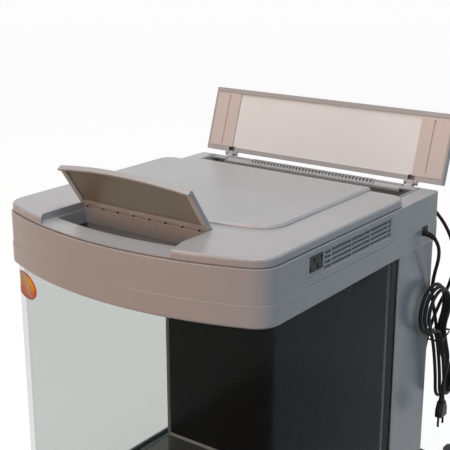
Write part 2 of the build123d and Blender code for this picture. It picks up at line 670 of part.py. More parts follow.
# Brackets on the back of the hood that carry the lid
with BuildPart() as lid_hinge_brackets:
    for x in (-LID_HINGE_X, LID_HINGE_X):
        with BuildSketch(Plane.YZ.offset(x - 5.8)):
            with BuildLine():
                Polyline((RAIL_BACK_Y, 548), (RAIL_BACK_Y, 568.5), (LID_HINGE_Y - 2, LID_HINGE_Z + 2),
                         (LID_HINGE_Y + 2.5, LID_HINGE_Z - 3.5), (RAIL_BACK_Y + 4, 552), close=True)
            make_face()
            with Locations((LID_HINGE_Y, LID_HINGE_Z)):
                Circle(LID_KNUCKLE_R)
        extrude(amount=11.6)
    with BuildSketch(Plane.YZ.offset(-LID_HALF)):
        with Locations((LID_HINGE_Y, LID_HINGE_Z)):
            Circle(LID_PIN_R)
    extrude(amount=2 * LID_HALF, mode=Mode.SUBTRACT)
save(lid_hinge_brackets, "lid_hinge_brackets")

# Pins of the lid's hinges
with BuildPart() as lid_hinge_pins:
    for x in (-LID_HINGE_X, LID_HINGE_X):
        with BuildSketch(Plane.YZ.offset(x - 12.5)):
            with Locations((LID_HINGE_Y, LID_HINGE_Z)):
                Circle(LID_PIN_R)
        extrude(amount=25)
save(lid_hinge_pins, "lid_hinge_pins")

# Rail along the rear of the service well: flat bar in front, quarter-round behind
with BuildPart() as rear_rail:
    with BuildSketch(Plane.YZ.offset(-RAIL_HALF)):
        with BuildLine():
            Polyline((264.5, RAIL_BAR_Z), (RAIL_FRONT_Y, RAIL_BAR_Z), (RAIL_FRONT_Y, RAIL_Z + 2),
                     (RAIL_FRONT_Y + 2, RAIL_Z), (RAIL_BACK_Y, RAIL_Z), (RAIL_BACK_Y, RAIL_TOP_Z - 1.5),
                     (RAIL_BACK_Y - 1.5, RAIL_TOP_Z), (270.2, RAIL_TOP_Z))
            RadiusArc((270.2, RAIL_TOP_Z), (264.5, RAIL_BAR_Z), 5.7)
        make_face()
    extrude(amount=2 * RAIL_HALF)
    with Locations((0, 270, RAIL_BAR_Z + 5)):
        Box(2 * COMB_HALF, 40, 10, mode=Mode.SUBTRACT)
save(rear_rail, "rear_rail")

# Comb of air slots on the rail
COMB_PITCH = (2 * COMB_HALF - 3) / COMB_SLOTS
with BuildPart() as rear_vent_comb:
    with BuildSketch(Plane.YZ.offset(-COMB_HALF + 0.1)):
        with BuildLine():
            Polyline((261.2, RAIL_BAR_Z), (RAIL_BACK_Y, RAIL_BAR_Z), (RAIL_BACK_Y, RAIL_TOP_Z + 0.2),
                     (267.3, RAIL_TOP_Z + 0.2))
            RadiusArc((267.3, RAIL_TOP_Z + 0.2), (261.2, RAIL_BAR_Z), 6.2)
        make_face()
    extrude(amount=2 * COMB_HALF - 0.2)
    for i in range(COMB_SLOTS):
        with Locations((-COMB_HALF + 1.5 + COMB_PITCH * (i + 0.5), 260, RAIL_BAR_Z + 5.9)):
            Box(COMB_SLOT_W, 28, 10, mode=Mode.SUBTRACT)
save(rear_vent_comb, "rear_vent_comb")

# Vent insert in the right wall: recess, louvres between posts, and a bay for the switches
with BuildPart() as vent_insert:
    with Locations((VENT_X - VENT_T / 2, (VENT_Y0 + VENT_Y1) / 2, (VENT_Z0 + VENT_Z1) / 2)):
        Box(VENT_T, VENT_Y1 - VENT_Y0 - 0.6, VENT_Z1 - VENT_Z0)
    with BuildSketch(Plane.YZ.offset(VENT_X)):
        with Locations(((RECESS_Y0 + RECESS_Y1) / 2, (RECESS_Z0 + RECESS_Z1) / 2)):
            Rectangle(RECESS_Y1 - RECESS_Y0, RECESS_Z1 - RECESS_Z0)
    extrude(amount=-1.6, taper=35, mode=Mode.SUBTRACT)
    with BuildSketch(Plane.YZ.offset(VENT_X)):
        for near, far in zip(LOUVRE_POSTS, LOUVRE_POSTS[1:] + [RECESS_Y1 + 0.5]):
            with Locations(((near + far) / 2, (RECESS_Z0 + RECESS_Z1) / 2)):
                Rectangle(far - near - 3, RECESS_Z1 - RECESS_Z0 - 3)
        for y in ROCKER_Y:
            with Locations((y, ROCKER_Z)):
                Rectangle(SWITCH_W - 1.6, SWITCH_H - 2)
    extrude(amount=-4 * VENT_T, mode=Mode.SUBTRACT)
    louvre_pitch = (RECESS_Z1 - RECESS_Z0 - 3) / LOUVRE_ROWS
    louvre_y0 = LOUVRE_POSTS[0]
    for row in range(LOUVRE_ROWS + 1):
        z = RECESS_Z0 + 1.5 + row * louvre_pitch
        with BuildSketch(Plane.XZ.offset(-louvre_y0)):
            with BuildLine():
                Polyline((VENT_X - 1.2, z - 1.9), (VENT_X - 1.2, z - 0.1), (VENT_X - 5.2, z + 3.1),
                         (VENT_X - 5.2, z + 1.3), close=True)
            make_face()
        extrude(amount=-(RECESS_Y1 - 0.5 - louvre_y0))
save(vent_insert, "vent_insert")

# Bodies of the two rocker switches, set in the vent insert
with BuildPart() as switch_housings:
    for y in ROCKER_Y:
        with Locations((VENT_X - 1, y, ROCKER_Z)):
            Box(1.2, SWITCH_W - 0.2, SWITCH_H)
        with Locations((VENT_X - 11.6, y, ROCKER_Z)):
            Box(20, SWITCH_W - 2, SWITCH_H - 2.4)
        with Locations((VENT_X - 5, y, ROCKER_Z)):
            Box(13, ROCKER_W + 0.6, SWITCH_H - 4.4, mode=Mode.SUBTRACT)
        with BuildSketch(Plane.XZ.offset(-y)):
            with Locations((ROCKER_AXIS_X, ROCKER_Z)):
                Circle(ROCKER_PIN_R + RUN_CLEARANCE)
        extrude(amount=SWITCH_W / 2 - 1, both=True, mode=Mode.SUBTRACT)
save(switch_housings, "switch_housings")

# Rockers: a shallow V in side view on a cross pin, upper end pressed in
for name, y in (("lamp_rocker", ROCKER_Y[0]), ("pump_rocker", ROCKER_Y[1])):
    with BuildPart() as rocker:
        with BuildSketch(Plane.XZ.offset(-y)):
            with BuildLine():
                Polyline((ROCKER_AXIS_X + 1.2, ROCKER_Z + ROCKER_HALF_H), (ROCKER_AXIS_X + 2.4, ROCKER_Z),
                         (ROCKER_AXIS_X + 4.0, ROCKER_Z - ROCKER_HALF_H),
                         (ROCKER_AXIS_X - 0.6, ROCKER_Z - ROCKER_HALF_H + 0.3),
                         (ROCKER_AXIS_X - 3.6, ROCKER_Z),
                         (ROCKER_AXIS_X - 2.6, ROCKER_Z + ROCKER_HALF_H), close=True)
            make_face()
        extrude(amount=ROCKER_W / 2, both=True)
        with BuildSketch(Plane.XZ.offset(-y)):
            with Locations((ROCKER_AXIS_X, ROCKER_Z)):
                Circle(ROCKER_PIN_R)
        extrude(amount=SWITCH_W / 2 - 1.2, both=True)
    save(rocker, name)

# Lamp under the cap: reflector tray, two tubes in end sockets, clear splash cover
with BuildPart() as lamp_housing:
    with Locations((0, 0, (LAMP_Z + LAMP_TOP_Z) / 2)):
        Box(2 * LAMP_HALF_X, 2 * LAMP_HALF_Y, LAMP_TOP_Z - LAMP_Z)
    fillet(lamp_housing.edges().filter_by(Axis.X).sort_by(Axis.Z)[-2:], 6)
    with Locations((0, 0, (LAMP_Z + LAMP_TOP_Z) / 2 - 2)):
        Box(2 * LAMP_HALF_X - 4, 2 * LAMP_HALF_Y - 4, LAMP_TOP_Z - LAMP_Z, mode=Mode.SUBTRACT)
save(lamp_housing, "lamp_housing")

with BuildPart() as lamp_tubes:
    with BuildSketch(Plane.YZ.offset(-TUBE_HALF)):
        for y in (-TUBE_Y, TUBE_Y):
            with Locations((y, TUBE_Z)):
                Circle(TUBE_R)
    extrude(amount=2 * TUBE_HALF)
save(lamp_tubes, "lamp_tubes")

with BuildPart() as lamp_sockets:
    for side in (-1, 1):
        for y in (-TUBE_Y, TUBE_Y):
            with Locations((side * (TUBE_HALF + 9), y, TUBE_Z + 1)):
                Box(18, 24, 2 * TUBE_R + 8)
save(lamp_sockets, "lamp_sockets")

with BuildPart() as lamp_cover:
    with Locations((0, 0, LAMP_Z - 1.5)):
        Box(2 * LAMP_HALF_X, 2 * LAMP_HALF_Y, 3)
save(lamp_cover, "lamp_cover")

# Box with the lamp's driver, fixed under the cap beside the switches
with BuildPart() as lamp_driver:
    with Locations((204, -55, CAP_Z - CAP_SKIN - 13)):
        Box(38, 120, 26)
    fillet(lamp_driver.edges().filter_by(Axis.Z), 4)
save(lamp_driver, "lamp_driver")

# Glass dividers of the filter chamber
with BuildPart() as filter_dividers:
    for x in DIVIDER_X:
        with Locations((x, CHAMBER_MID_Y, (FLOOR_Z + DIVIDER_TOP_Z) / 2)):
            Box(DIVIDER_T, REAR_GLASS_Y - CHAMBER_Y0, DIVIDER_TOP_Z - FLOOR_Z)
save(filter_dividers, "filter_dividers")

# Media basket with slotted sides and floor, standing on four feet
with BuildPart() as filter_basket:
    with BuildSketch(Plane.XY.offset(FLOOR_Z + BASKET_FOOT)):
        with Locations((BASKET_X, CHAMBER_MID_Y)):
            RectangleRounded(BASKET_W, BASKET_D, 6)
    extrude(amount=BASKET_H)
    with BuildSketch(Plane.XY.offset(FLOOR_Z + BASKET_FOOT + BASKET_WALL)):
        with Locations((BASKET_X, CHAMBER_MID_Y)):
            RectangleRounded(BASKET_W - 2 * BASKET_WALL, BASKET_D - 2 * BASKET_WALL, 3)
    extrude(amount=BASKET_H, mode=Mode.SUBTRACT)
    with BuildSketch(Plane.XY.offset(FLOOR_Z)):
        with Locations((BASKET_X, CHAMBER_MID_Y)):
            with GridLocations(BASKET_W - 24, BASKET_D - 24, 2, 2):
                Circle(5)
    extrude(amount=BASKET_FOOT)
    with BuildSketch(Plane.XY.offset(FLOOR_Z + BASKET_FOOT)):
        with Locations((BASKET_X, CHAMBER_MID_Y)):
            with GridLocations(14, 0, 8, 1):
                Rectangle(5, BASKET_D - 30)
    extrude(amount=BASKET_WALL, mode=Mode.SUBTRACT)
    with BuildSketch(Plane.XZ.offset(-CHAMBER_MID_Y)):
        with Locations((BASKET_X, FLOOR_Z + BASKET_FOOT + BASKET_H / 2)):
            with GridLocations(16, 0, 8, 1):
                Rectangle(6, BASKET_H - 50)
    extrude(amount=BASKET_D, both=True, mode=Mode.SUBTRACT)
save(filter_basket, "filter_basket")

# Two foam blocks in the basket
with BuildPart() as filter_sponges:
    for low, height in ((FLOOR_Z + BASKET_FOOT + BASKET_WALL + 0.3, 90), (FLOOR_Z + BASKET_FOOT + 96, 80)):
        with Locations((BASKET_X, CHAMBER_MID_Y, low + height / 2)):
            Box(BASKET_W - 2 * BASKET_WALL - 1, BASKET_D - 2 * BASKET_WALL - 1, height)
    fillet(filter_sponges.edges().filter_by(Axis.Z), 3.5)
save(filter_sponges, "filter_sponges")

# Pump: body with a rotor chamber open at the front, on the chamber floor
PUMP_Y0 = CHAMBER_MID_Y - PUMP_D / 2
with BuildPart() as pump_body:
    with Locations((PUMP_X, CHAMBER_MID_Y, FLOOR_Z + 3 + PUMP_H / 2)):
        Box(PUMP_W, PUMP_D, PUMP_H)
    fillet(pump_body.edges().filter_by(Axis.Y), 8)
    with BuildSketch(Plane.XY.offset(FLOOR_Z)):
        with Locations((PUMP_X, CHAMBER_MID_Y)):
            with GridLocations(PUMP_W - 24, PUMP_D - 16, 2, 2):
                Circle(6)
    extrude(amount=6)
    with BuildSketch(Plane.XZ.offset(-PUMP_Y0)):
        with Locations((PUMP_X, ROTOR_Z)):
            Circle(18)
    extrude(amount=-14, mode=Mode.SUBTRACT)
    with BuildSketch(Plane.XZ.offset(-PUMP_Y0)):
        with Locations((PUMP_X, ROTOR_Z)):
            Circle(ROTOR_R + 0.6)
    extrude(amount=-44, mode=Mode.SUBTRACT)
    with BuildSketch(Plane.XZ.offset(-PUMP_Y0)):
        with Locations((PUMP_X, ROTOR_Z)):
            Circle(SHAFT_R + RUN_CLEARANCE)
    extrude(amount=-48, mode=Mode.SUBTRACT)
    with BuildSketch(Plane.XY.offset(FLOOR_Z + PUMP_H)):
        with Locations((PUMP_X, RISER_Y)):
            Circle(RISER_R + 3)
    extrude(amount=18)
    with BuildSketch(Plane.XY.offset(FLOOR_Z + PUMP_H + 4)):
        with Locations((PUMP_X, RISER_Y)):
            Circle(RISER_R)
    extrude(amount=20, mode=Mode.SUBTRACT)
save(pump_body, "pump_body")

# Rotor: magnet drum on a shaft, with four straight vanes
with BuildPart() as pump_rotor:
    with BuildSketch(Plane.XZ.offset(-(PUMP_Y0 + 13))):
        with Locations((PUMP_X, ROTOR_Z)):
            Circle(ROTOR_R)
    extrude(amount=-29)
    with BuildSketch(Plane.XZ.offset(-(PUMP_Y0 + 3))):
        with Locations((PUMP_X, ROTOR_Z)):
            Circle(5)
            Rectangle(31, 2.4)
            Rectangle(2.4, 31)
    extrude(amount=-10)
    with BuildSketch(Plane.XZ.offset(-(PUMP_Y0 - 0.8))):
        with Locations((PUMP_X, ROTOR_Z)):
            Circle(SHAFT_R)
    extrude(amount=-6)
    with BuildSketch(Plane.XZ.offset(-(PUMP_Y0 + 42))):
        with Locations((PUMP_X, ROTOR_Z)):
            Circle(SHAFT_R)
    extrude(amount=-4)
save(pump_rotor, "pump_rotor")

# Slotted intake cover over the rotor chamber
with BuildPart() as pump_intake:
    with BuildSketch(Plane.XZ.offset(-PUMP_Y0)):
        with Locations((PUMP_X, ROTOR_Z)):
            RectangleRounded(50, 46, 8)
            with GridLocations(7, 0, 5, 1):
                SlotOverall(30, 3, rotation=90, mode=Mode.SUBTRACT)
            Circle(4)
            Circle(SHAFT_R + RUN_CLEARANCE, mode=Mode.SUBTRACT)
    extrude(amount=2.6)
save(pump_intake, "pump_intake")

# Riser pipe from the pump, bent forward through the partition
with BuildPart() as riser_pipe:
    with BuildLine() as riser_path:
        FilletPolyline((PUMP_X, RISER_Y, FLOOR_Z + PUMP_H + 4.5), (PUMP_X, RISER_Y, OUTLET_Z),
                       (PUMP_X, PARTITION_Y - 4, OUTLET_Z), radius=24)
    with BuildSketch(Plane.XY.offset(FLOOR_Z + PUMP_H + 4.5)):
        with Locations((PUMP_X, RISER_Y)):
            Circle(RISER_R)
            Circle(RISER_R - RISER_WALL, mode=Mode.SUBTRACT)
    sweep(path=riser_path.line)
save(riser_pipe, "riser_pipe")

# Duckbill outlet in the show chamber: a collar on the pipe, flattened to a wide mouth
NOZZLE_Y0 = PARTITION_Y - 4
NOZZLE_Y1 = PARTITION_Y - 44
with BuildPart() as outlet_nozzle:
    with BuildSketch(Plane.XZ.offset(-NOZZLE_Y0)):
        with Locations((PUMP_X, OUTLET_Z)):
            Rectangle(2 * RISER_R + 4, 2 * RISER_R + 4)
    with BuildSketch(Plane.XZ.offset(-NOZZLE_Y1)):
        with Locations((PUMP_X, OUTLET_Z)):
            Rectangle(38, 12)
    loft(ruled=True)
    with BuildSketch(Plane.XZ.offset(-NOZZLE_Y0)):
        with Locations((PUMP_X, OUTLET_Z)):
            Rectangle(12, 12)
    with BuildSketch(Plane.XZ.offset(-NOZZLE_Y1)):
        with Locations((PUMP_X, OUTLET_Z)):
            Rectangle(34, 8)
    loft(ruled=True, mode=Mode.SUBTRACT)
    with BuildSketch(Plane.XZ.offset(-PARTITION_Y)):
        with Locations((PUMP_X, OUTLET_Z)):
            Rectangle(2 * RISER_R + 4, 2 * RISER_R + 4)
            Circle(RISER_R + 0.1, mode=Mode.SUBTRACT)
    extrude(amount=4)
save(outlet_nozzle, "outlet_nozzle")

# First cord: free stretch from the side gland down to the tied hank
hank_plane = Plane(origin=(HANK_X, HANK_Y, HANK_Z), z_dir=(1, 0, 0),
                   x_dir=(0, math.cos(math.radians(HANK_TILT)), math.sin(math.radians(HANK_TILT))))
hank_start = hank_plane.from_local_coords((HANK_WAIST, CORD_D, 0))
before_hank = hank_plane.from_local_coords((HANK_WAIST, CORD_D + 24, 0))
CORD_A_ROUTE = [(244.0, GLAND_Y - 2, CORD_A_Z), (263.0, GLAND_Y - 2, CORD_A_Z), (272.0, 238.0, 489.0),
                (267.0, 252.0, 461.0), (257.0, 258.0, 428.0), (251.5, 264.0, 394.0),
                tuple(before_hank), tuple(hank_start)]
cord_a_free = tube("cord_a_free", CORD_A_ROUTE, CORD_D)
save(cord_a_free, "cord_a_free")


def lobe_points(side, up, radius, reach, drawn_in):
    """Return a lobe's widest point and the point where it meets the bend to the waist, in the
    hank's plane. Every strand is the outermost one moved in, so all share the same arc centres."""
    bend_r = (HANK_WAIST**2 + reach**2 - radius**2) / (2 * (radius - HANK_WAIST))
    own_r = radius - drawn_in
    meet_x = own_r * (HANK_WAIST + bend_r) / (radius + bend_r)
    meet_y = reach - own_r * reach / (radius + bend_r)
    return (side * own_r, up * reach), (side * meet_x, up * meet_y)


# Tied hank: loops side by side along X, drawn in at a waist, all one unbroken tube
hank_route = [(HANK_WAIST, CORD_D, 0)]
for half in range(2 * HANK_LOOPS):
    side, up = (1, -1) if half % 2 == 0 else (-1, 1)
    lobe_r, reach = (HANK_LOW_R, HANK_LOW_REACH) if up < 0 else (HANK_TOP_R, HANK_TOP_REACH)
    layer_in, layer_out = HANK_PITCH / 2 * half, HANK_PITCH / 2 * (half + 1)
    in_r, out_r = HANK_SHRINK * half, HANK_SHRINK * (half + 1)
    wide_in, meet_in = lobe_points(side, up, lobe_r, reach, in_r)
    wide_out, meet_out = lobe_points(-side, up, lobe_r, reach, out_r)
    hank_route += [(side * (HANK_WAIST - in_r), 0, layer_in), (*meet_in, layer_in), (*wide_in, layer_in),
                   (*wide_out, layer_out), (*meet_out, layer_out)]
hank_end_v = HANK_WAIST - HANK_SHRINK * 2 * HANK_LOOPS
hank_end_layer = HANK_PITCH * HANK_LOOPS
hank_route += [(hank_end_v, 0, hank_end_layer), (hank_end_v, -CORD_D, hank_end_layer)]


def wound_tube(name, plane, route, diameter):
    """Return one eight-sided tube wound along tangent arcs through the plane's route points, and
    print its length and the least gap to itself. The first and last runs are straight."""
    points = [plane.from_local_coords(point) for point in route]
    with BuildPart() as winding:
        with BuildLine() as path:
            last = Line(points[0], points[1])
            for here, there in zip(points[1:-2], points[2:-1]):
                last = TangentArc(here, there, tangent=last % 1)
            Line(points[-2], points[-1])
        line = path.wire()
        with BuildSketch(Plane(origin=line @ 0, z_dir=line % 0)) as section:
            RegularPolygon(diameter / 2, WOUND_SIDES)
        sweep(path=line)
    steps = int(line.length / 2.5)
    samples = [line @ (i / steps) for i in range(steps + 1)]
    apart = int(math.pi * diameter / 2.5)
    gap = min((a - b).length for i, a in enumerate(samples) for b in samples[i + apart:]) - diameter
    expected = section.sketch.area * line.length
    print(name, "length", round(line.length, 1), "least gap", round(gap, 2),
          "volume ratio", round(winding.part.volume / expected, 4))
    return winding


cord_a_hank = wound_tube("cord_a_hank", hank_plane, hank_route, CORD_D)
save(cord_a_hank, "cord_a_hank")

# Wire tie round the hank's waist, with its two ends sticking out
with BuildPart() as hank_tie:
    tie_mid = Plane(origin=hank_plane.from_local_coords((0, 0, hank_end_layer / 2)),
                    x_dir=hank_plane.x_dir, z_dir=hank_plane.y_dir)
    with BuildSketch(tie_mid.offset(-TIE_W / 2)):
        RectangleRounded(2 * HANK_WAIST + CORD_D + 2 * TIE_T + 0.6,
                         hank_end_layer + CORD_D + 2 * TIE_T + 0.6, 4.5)
        RectangleRounded(2 * HANK_WAIST + CORD_D + 0.6, hank_end_layer + CORD_D + 0.6, 3.2,
                         mode=Mode.SUBTRACT)
    extrude(amount=TIE_W)
    tie_side = HANK_WAIST + CORD_D / 2 + 0.3 + TIE_T / 2
    for reach_v, reach_u in ((16, 26), (26, -24)):
        start = hank_plane.from_local_coords((tie_side, 0, hank_end_layer / 2))
        end = hank_plane.from_local_coords((tie_side + reach_v, reach_u, hank_end_layer / 2 + 6))
        with BuildSketch(Plane(origin=start, z_dir=end - start)):
            Circle(0.9)
        extrude(amount=(end - start).length)
save(hank_tie, "hank_tie")


def plug(name, plane):
    """Return a two-pin plug along the plane's Z, from the cord's end to the tips of its pins."""
    with BuildPart() as body:
        with BuildSketch(plane):
            Circle(RELIEF_R)
        with BuildSketch(plane.offset(RELIEF_L)):
            Circle(RELIEF_R + 1.6)
        loft()
        with BuildSketch(plane.offset(RELIEF_L)):
            RectangleRounded(17, PLUG_T - 1, 5.5)
        with BuildSketch(plane.offset(RELIEF_L + 14)):
            RectangleRounded(PLUG_W, PLUG_T, 5.5)
        loft()
        with BuildSketch(plane.offset(RELIEF_L + 14)):
            RectangleRounded(PLUG_W, PLUG_T, 5.5)
        extrude(amount=PLUG_L - 14)
        with BuildSketch(plane.offset(RELIEF_L + PLUG_L)):
            with GridLocations(PIN_PITCH, 0, 2, 1):
                Circle(PIN_R)
        extrude(amount=PIN_L)
    save(body, name)


# First cord's tail, hanging plumb from the hank, and its plug
hank_end = hank_plane.from_local_coords(hank_route[-1])
after_hank = hank_plane.from_local_coords((hank_end_v, -CORD_D - 16, hank_end_layer))
plug_a_y, plug_a_z = 262.0, 214.0
CORD_A_TAIL = [tuple(hank_end), tuple(after_hank), (283.5, 280.0, 276.0), (285.0, 269.0, 254.0),
               (284.0, plug_a_y, 232.0), (284.0, plug_a_y, plug_a_z)]
cord_a_tail = tube("cord_a_tail", CORD_A_TAIL, CORD_D)
save(cord_a_tail, "cord_a_tail")
plug("plug_a", Plane(origin=CORD_A_TAIL[-1], x_dir=(0, 1, 0), z_dir=(0, 0, -1)))

# Rear gland of the second cord
with BuildPart() as rear_cord_gland:
    with BuildSketch(Plane.XZ.offset(-(RAIL_BACK_Y - 5))):
        with Locations((REAR_GLAND_X, REAR_GLAND_Z)):
            Circle(5.9)
            Circle(CORD_D / 2, mode=Mode.SUBTRACT)
    extrude(amount=-9)
    with BuildSketch(Plane.XZ.offset(-RAIL_BACK_Y)):
        with Locations((REAR_GLAND_X, REAR_GLAND_Z)):
            Circle(9)
            Circle(CORD_D / 2, mode=Mode.SUBTRACT)
    extrude(amount=-2)
save(rear_cord_gland, "rear_cord_gland")

# Second cord: out of the rear wall, down behind the tank to the surface it stands on
coil_plane = Plane(origin=(COIL_X, COIL_Y, COIL_Z), x_dir=(1, 0, 0), z_dir=(0, 0, -1))
coil_top = (COIL_X + COIL_R, COIL_Y - CORD_D, COIL_Z)
CORD_B_ROUTE = [(REAR_GLAND_X, 274.0, REAR_GLAND_Z), (REAR_GLAND_X, 291.0, REAR_GLAND_Z),
                (REAR_GLAND_X + 10, 301.0, 514.0), (254.0, 304.0, 487.0), (262.0, 306.0, 452.0),
                (259.0, 306.0, 405.0), (247.0, 303.0, 350.0), (238.0, 300.0, 280.0),
                (236.0, 299.0, 205.0), (235.0, 301.0, 135.0), (235.0, 305.0, 85.0), (234.0, 314.0, 50.0),
                (COIL_X + COIL_R, 330.0, COIL_Z), coil_top]
cord_b_free = tube("cord_b_free", CORD_B_ROUTE, CORD_D)
save(cord_b_free, "cord_b_free")

# Coil of the second cord, lying behind the tank
coil_route = [(COIL_R, CORD_D, 0)]
for half in range(2 * COIL_LOOPS + 1):
    coil_route.append((COIL_R if half % 2 == 0 else -COIL_R, 0, COIL_PITCH / 2 * half))
coil_route.append((COIL_R, -CORD_D, COIL_PITCH * COIL_LOOPS))
cord_b_coil = wound_tube("cord_b_coil", coil_plane, coil_route, CORD_D)
save(cord_b_coil, "cord_b_coil")

# Second cord's tail and plug, lying on the surface
coil_low = (COIL_X + COIL_R, COIL_Y + CORD_D, CORD_D / 2)
CORD_B_TAIL = [coil_low, (coil_low[0], coil_low[1] + 16, CORD_D / 2), (coil_low[0] - 2, coil_low[1] + 34, 7.0),
               (coil_low[0] - 2, coil_low[1] + 50, PLUG_T / 2)]
cord_b_tail = tube("cord_b_tail", CORD_B_TAIL, CORD_D)
save(cord_b_tail, "cord_b_tail")
plug("plug_b", Plane(origin=CORD_B_TAIL[-1], x_dir=(1, 0, 0), z_dir=(0, 1, 0)))
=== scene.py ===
"""Panoramic aquarium: looks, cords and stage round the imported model."""
import math

import bmesh
import bpy
from bpy.props import FloatProperty, FloatVectorProperty, IntProperty, PointerProperty
from bpy.types import Operator, Panel, PropertyGroup
from mathutils import Matrix, Vector, noise


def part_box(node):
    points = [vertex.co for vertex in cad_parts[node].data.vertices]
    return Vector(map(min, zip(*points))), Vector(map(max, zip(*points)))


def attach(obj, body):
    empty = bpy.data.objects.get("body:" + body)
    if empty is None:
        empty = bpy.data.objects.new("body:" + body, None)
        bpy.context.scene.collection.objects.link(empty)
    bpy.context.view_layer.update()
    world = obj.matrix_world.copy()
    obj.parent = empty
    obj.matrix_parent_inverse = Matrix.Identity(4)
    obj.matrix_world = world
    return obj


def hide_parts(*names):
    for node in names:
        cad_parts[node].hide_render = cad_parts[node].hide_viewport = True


bl_info = {
    "name": "Panoramic aquarium",
    "version": (1, 0, 0),
    "blender": (4, 5, 0),
    "location": "View3D > Sidebar > Aquarium",
    "description": "Finishes, cords and stage of a bowed-front aquarium",
    "category": "Object",
}

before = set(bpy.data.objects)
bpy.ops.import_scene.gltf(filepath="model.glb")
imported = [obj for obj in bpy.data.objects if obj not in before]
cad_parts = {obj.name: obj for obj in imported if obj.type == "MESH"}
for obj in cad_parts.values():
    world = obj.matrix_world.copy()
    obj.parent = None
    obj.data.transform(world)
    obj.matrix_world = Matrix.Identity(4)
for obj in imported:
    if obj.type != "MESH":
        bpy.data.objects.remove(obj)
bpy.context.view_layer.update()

# Plan of the tank, as in the solid model
BOW_RADIUS = 0.595682
BOW_CENTRE_Y = 0.317182
CORNER_R = 0.039
CORNER_X = -0.211
CORNER_Y = -0.197962
GLASS_INSET = 0.0074

# Camera: its place, its angles in degrees, and its lens and sensor in millimetres
CAMERA_PLACE = (0.9387, -1.2403, 1.0044)
CAMERA_YAW = 36.82
CAMERA_PITCH = 16.85
CAMERA_ROLL = -0.11
CAMERA_LENS = 80.899
SENSOR_W = 36.0
CAMERA_REACH = 100

# Lamps: name, place, the point each one faces, size across, watts and tint
LAMPS = (
    ("key_lamp", (0.2, 0.1, 3.2), (0, 0, 0.5), 1.4, 36, (1.0, 1.0, 1.0)),
    ("edge_lamp", (-1.1, -0.9, 3.0), (0, -0.1, 0.5), 0.9, 12, (1.0, 1.0, 1.0)),
    ("front_lamp", (-0.6, -3.2, 1.0), (0, 0, 0.45), 2.2, 40, (1.0, 0.52, 0.27)),
    ("side_lamp", (3.0, -0.6, 1.2), (0, 0, 0.45), 2.0, 13, (0.32, 0.7, 1.0)),
    ("lid_lamp", (0.8, -2.4, 2.4), (0.05, 0.3, 0.62), 1.0, 12, (0.97, 0.98, 1.0)),
)

# Floor and backdrop: the floor's grey, how brightly it shows, and the backdrop's light on the object
FLOOR_SIZE = 30
FLOOR_GREY = (0.18, 0.18, 0.18)
FLOOR_GLOW = 0.88
WORLD_FILL = 0.07

# Display colours of 0 to 255 that have no setting
LAMP_WHITE = (232, 232, 228)
TUBE_WHITE = (244, 246, 248)
ROTOR_GREY = (60, 62, 66)
BUBBLE_YELLOW = (226, 214, 96)

# Linear colours that have no setting
PIN_METAL = (0.62, 0.62, 0.63)
BEAD_METAL = (0.75, 0.68, 0.6)
# Painted shade: dark colour of the thin discs round the hinge beads
PAINTED_SEAT_SHADE = (0.03, 0.022, 0.018)
SEALANT = (0.62, 0.68, 0.65)
WINDOW_TINT = (0.95, 0.95, 0.95)
WINDOW_FILM = (0.8, 0.8, 0.8)
GLASS_FILM = (0.80, 0.86, 0.83)
GLASS_MIRROR = (0.58, 0.66, 0.72)

# Refraction of glass, and the lower value that its mirror image follows
GLASS_IOR = 1.5
MIRROR_IOR = 1.15

# Eased edges of the silver mouldings
EDGE_R = 0.0011

# Hank of the first cord, in its own plane: waist, layers, and the radius and reach of its lobes
HANK_ORIGIN = (0.256, 0.2725, 0.318)
HANK_TILT = 21.3
HANK_LOOPS = 3
HANK_PITCH = 0.0066
HANK_WAIST = 0.0132
HANK_SHRINK = 0.0016
HANK_TOP = (0.045, 0.057)
HANK_LOW = (0.028, 0.112)
NECK_STEPS = 2
LOBE_STEPS = 10

# Coil of the second cord, which lies a little nearer the tank than the solid one
COIL_X = 0.194
COIL_Y = 0.342
COIL_Z = 0.003
COIL_R = 0.033
COIL_LOOPS = 4
COIL_PITCH = 0.00605
COIL_STEPS = 14

# Real lengths of the cords, and the strain relief's middle and thin end against its start and the cord
CORD_A_LENGTH = 2.016
CORD_B_LENGTH = 1.441
RELIEF_MIDDLE = 0.9
RELIEF_END = 1.12

# Filter foam: the ends of its two blocks above the lower one's underside, slack, corners and dents
FOAM_LOW_TOP = 0.0897
FOAM_HIGH_BOTTOM = 0.0927
FOAM_SLACK = 0.001
FOAM_ROUND = 0.004
FOAM_LONG_EDGE = 0.02
FOAM_DENT = 0.004

# Feeding flap: its hinge knuckles, each with a bead on a thin dark disc of painted shade
FLAP_X = -0.020
FLAP_AXIS_Y = -0.1585
FLAP_AXIS_Z = 0.581
FLAP_KNUCKLES = 8
KNUCKLE_PITCH = 0.0314
KNUCKLE_R = 0.0026
KNUCKLE_SHIFT = 0.006
FIRST_KNUCKLE_X = FLAP_X - KNUCKLE_PITCH * (FLAP_KNUCKLES - 1) / 2 - KNUCKLE_SHIFT
BEAD_R = 0.0016
BEAD_OUT = 0.0006
SHADE_DISC_R = 0.0029
SHADE_DISC_T = 0.0005
SHADE_DISC_OUT = 0.0001

# Feeding pocket, and the wall that hangs below its rear edge
POCKET_HALF = 0.119
POCKET_REAR_Y = -0.1593
POCKET_LOW_Z = 0.552
WALL_T = 0.002
WALL_H = 0.023
WALL_LAP = 0.008
WALL_EASE = 0.0006

# Oval label: how far its middle lies along the glass from the left corner, its height, mesh and film
LABEL_TRAVEL = 0.019
LABEL_Z = 0.4555
LABEL_RINGS = 7
LABEL_SPOKES = 48
LABEL_GAP = 0.00015
LABEL_T = 0.0001


def linear(red, green, blue):
    """Return a display colour of 0 to 255 values as the linear colour that shaders take."""
    def channel(value):
        value /= 255
        return value / 12.92 if value <= 0.04045 else ((value + 0.055) / 1.055) ** 2.4
    return channel(red), channel(green), channel(blue)


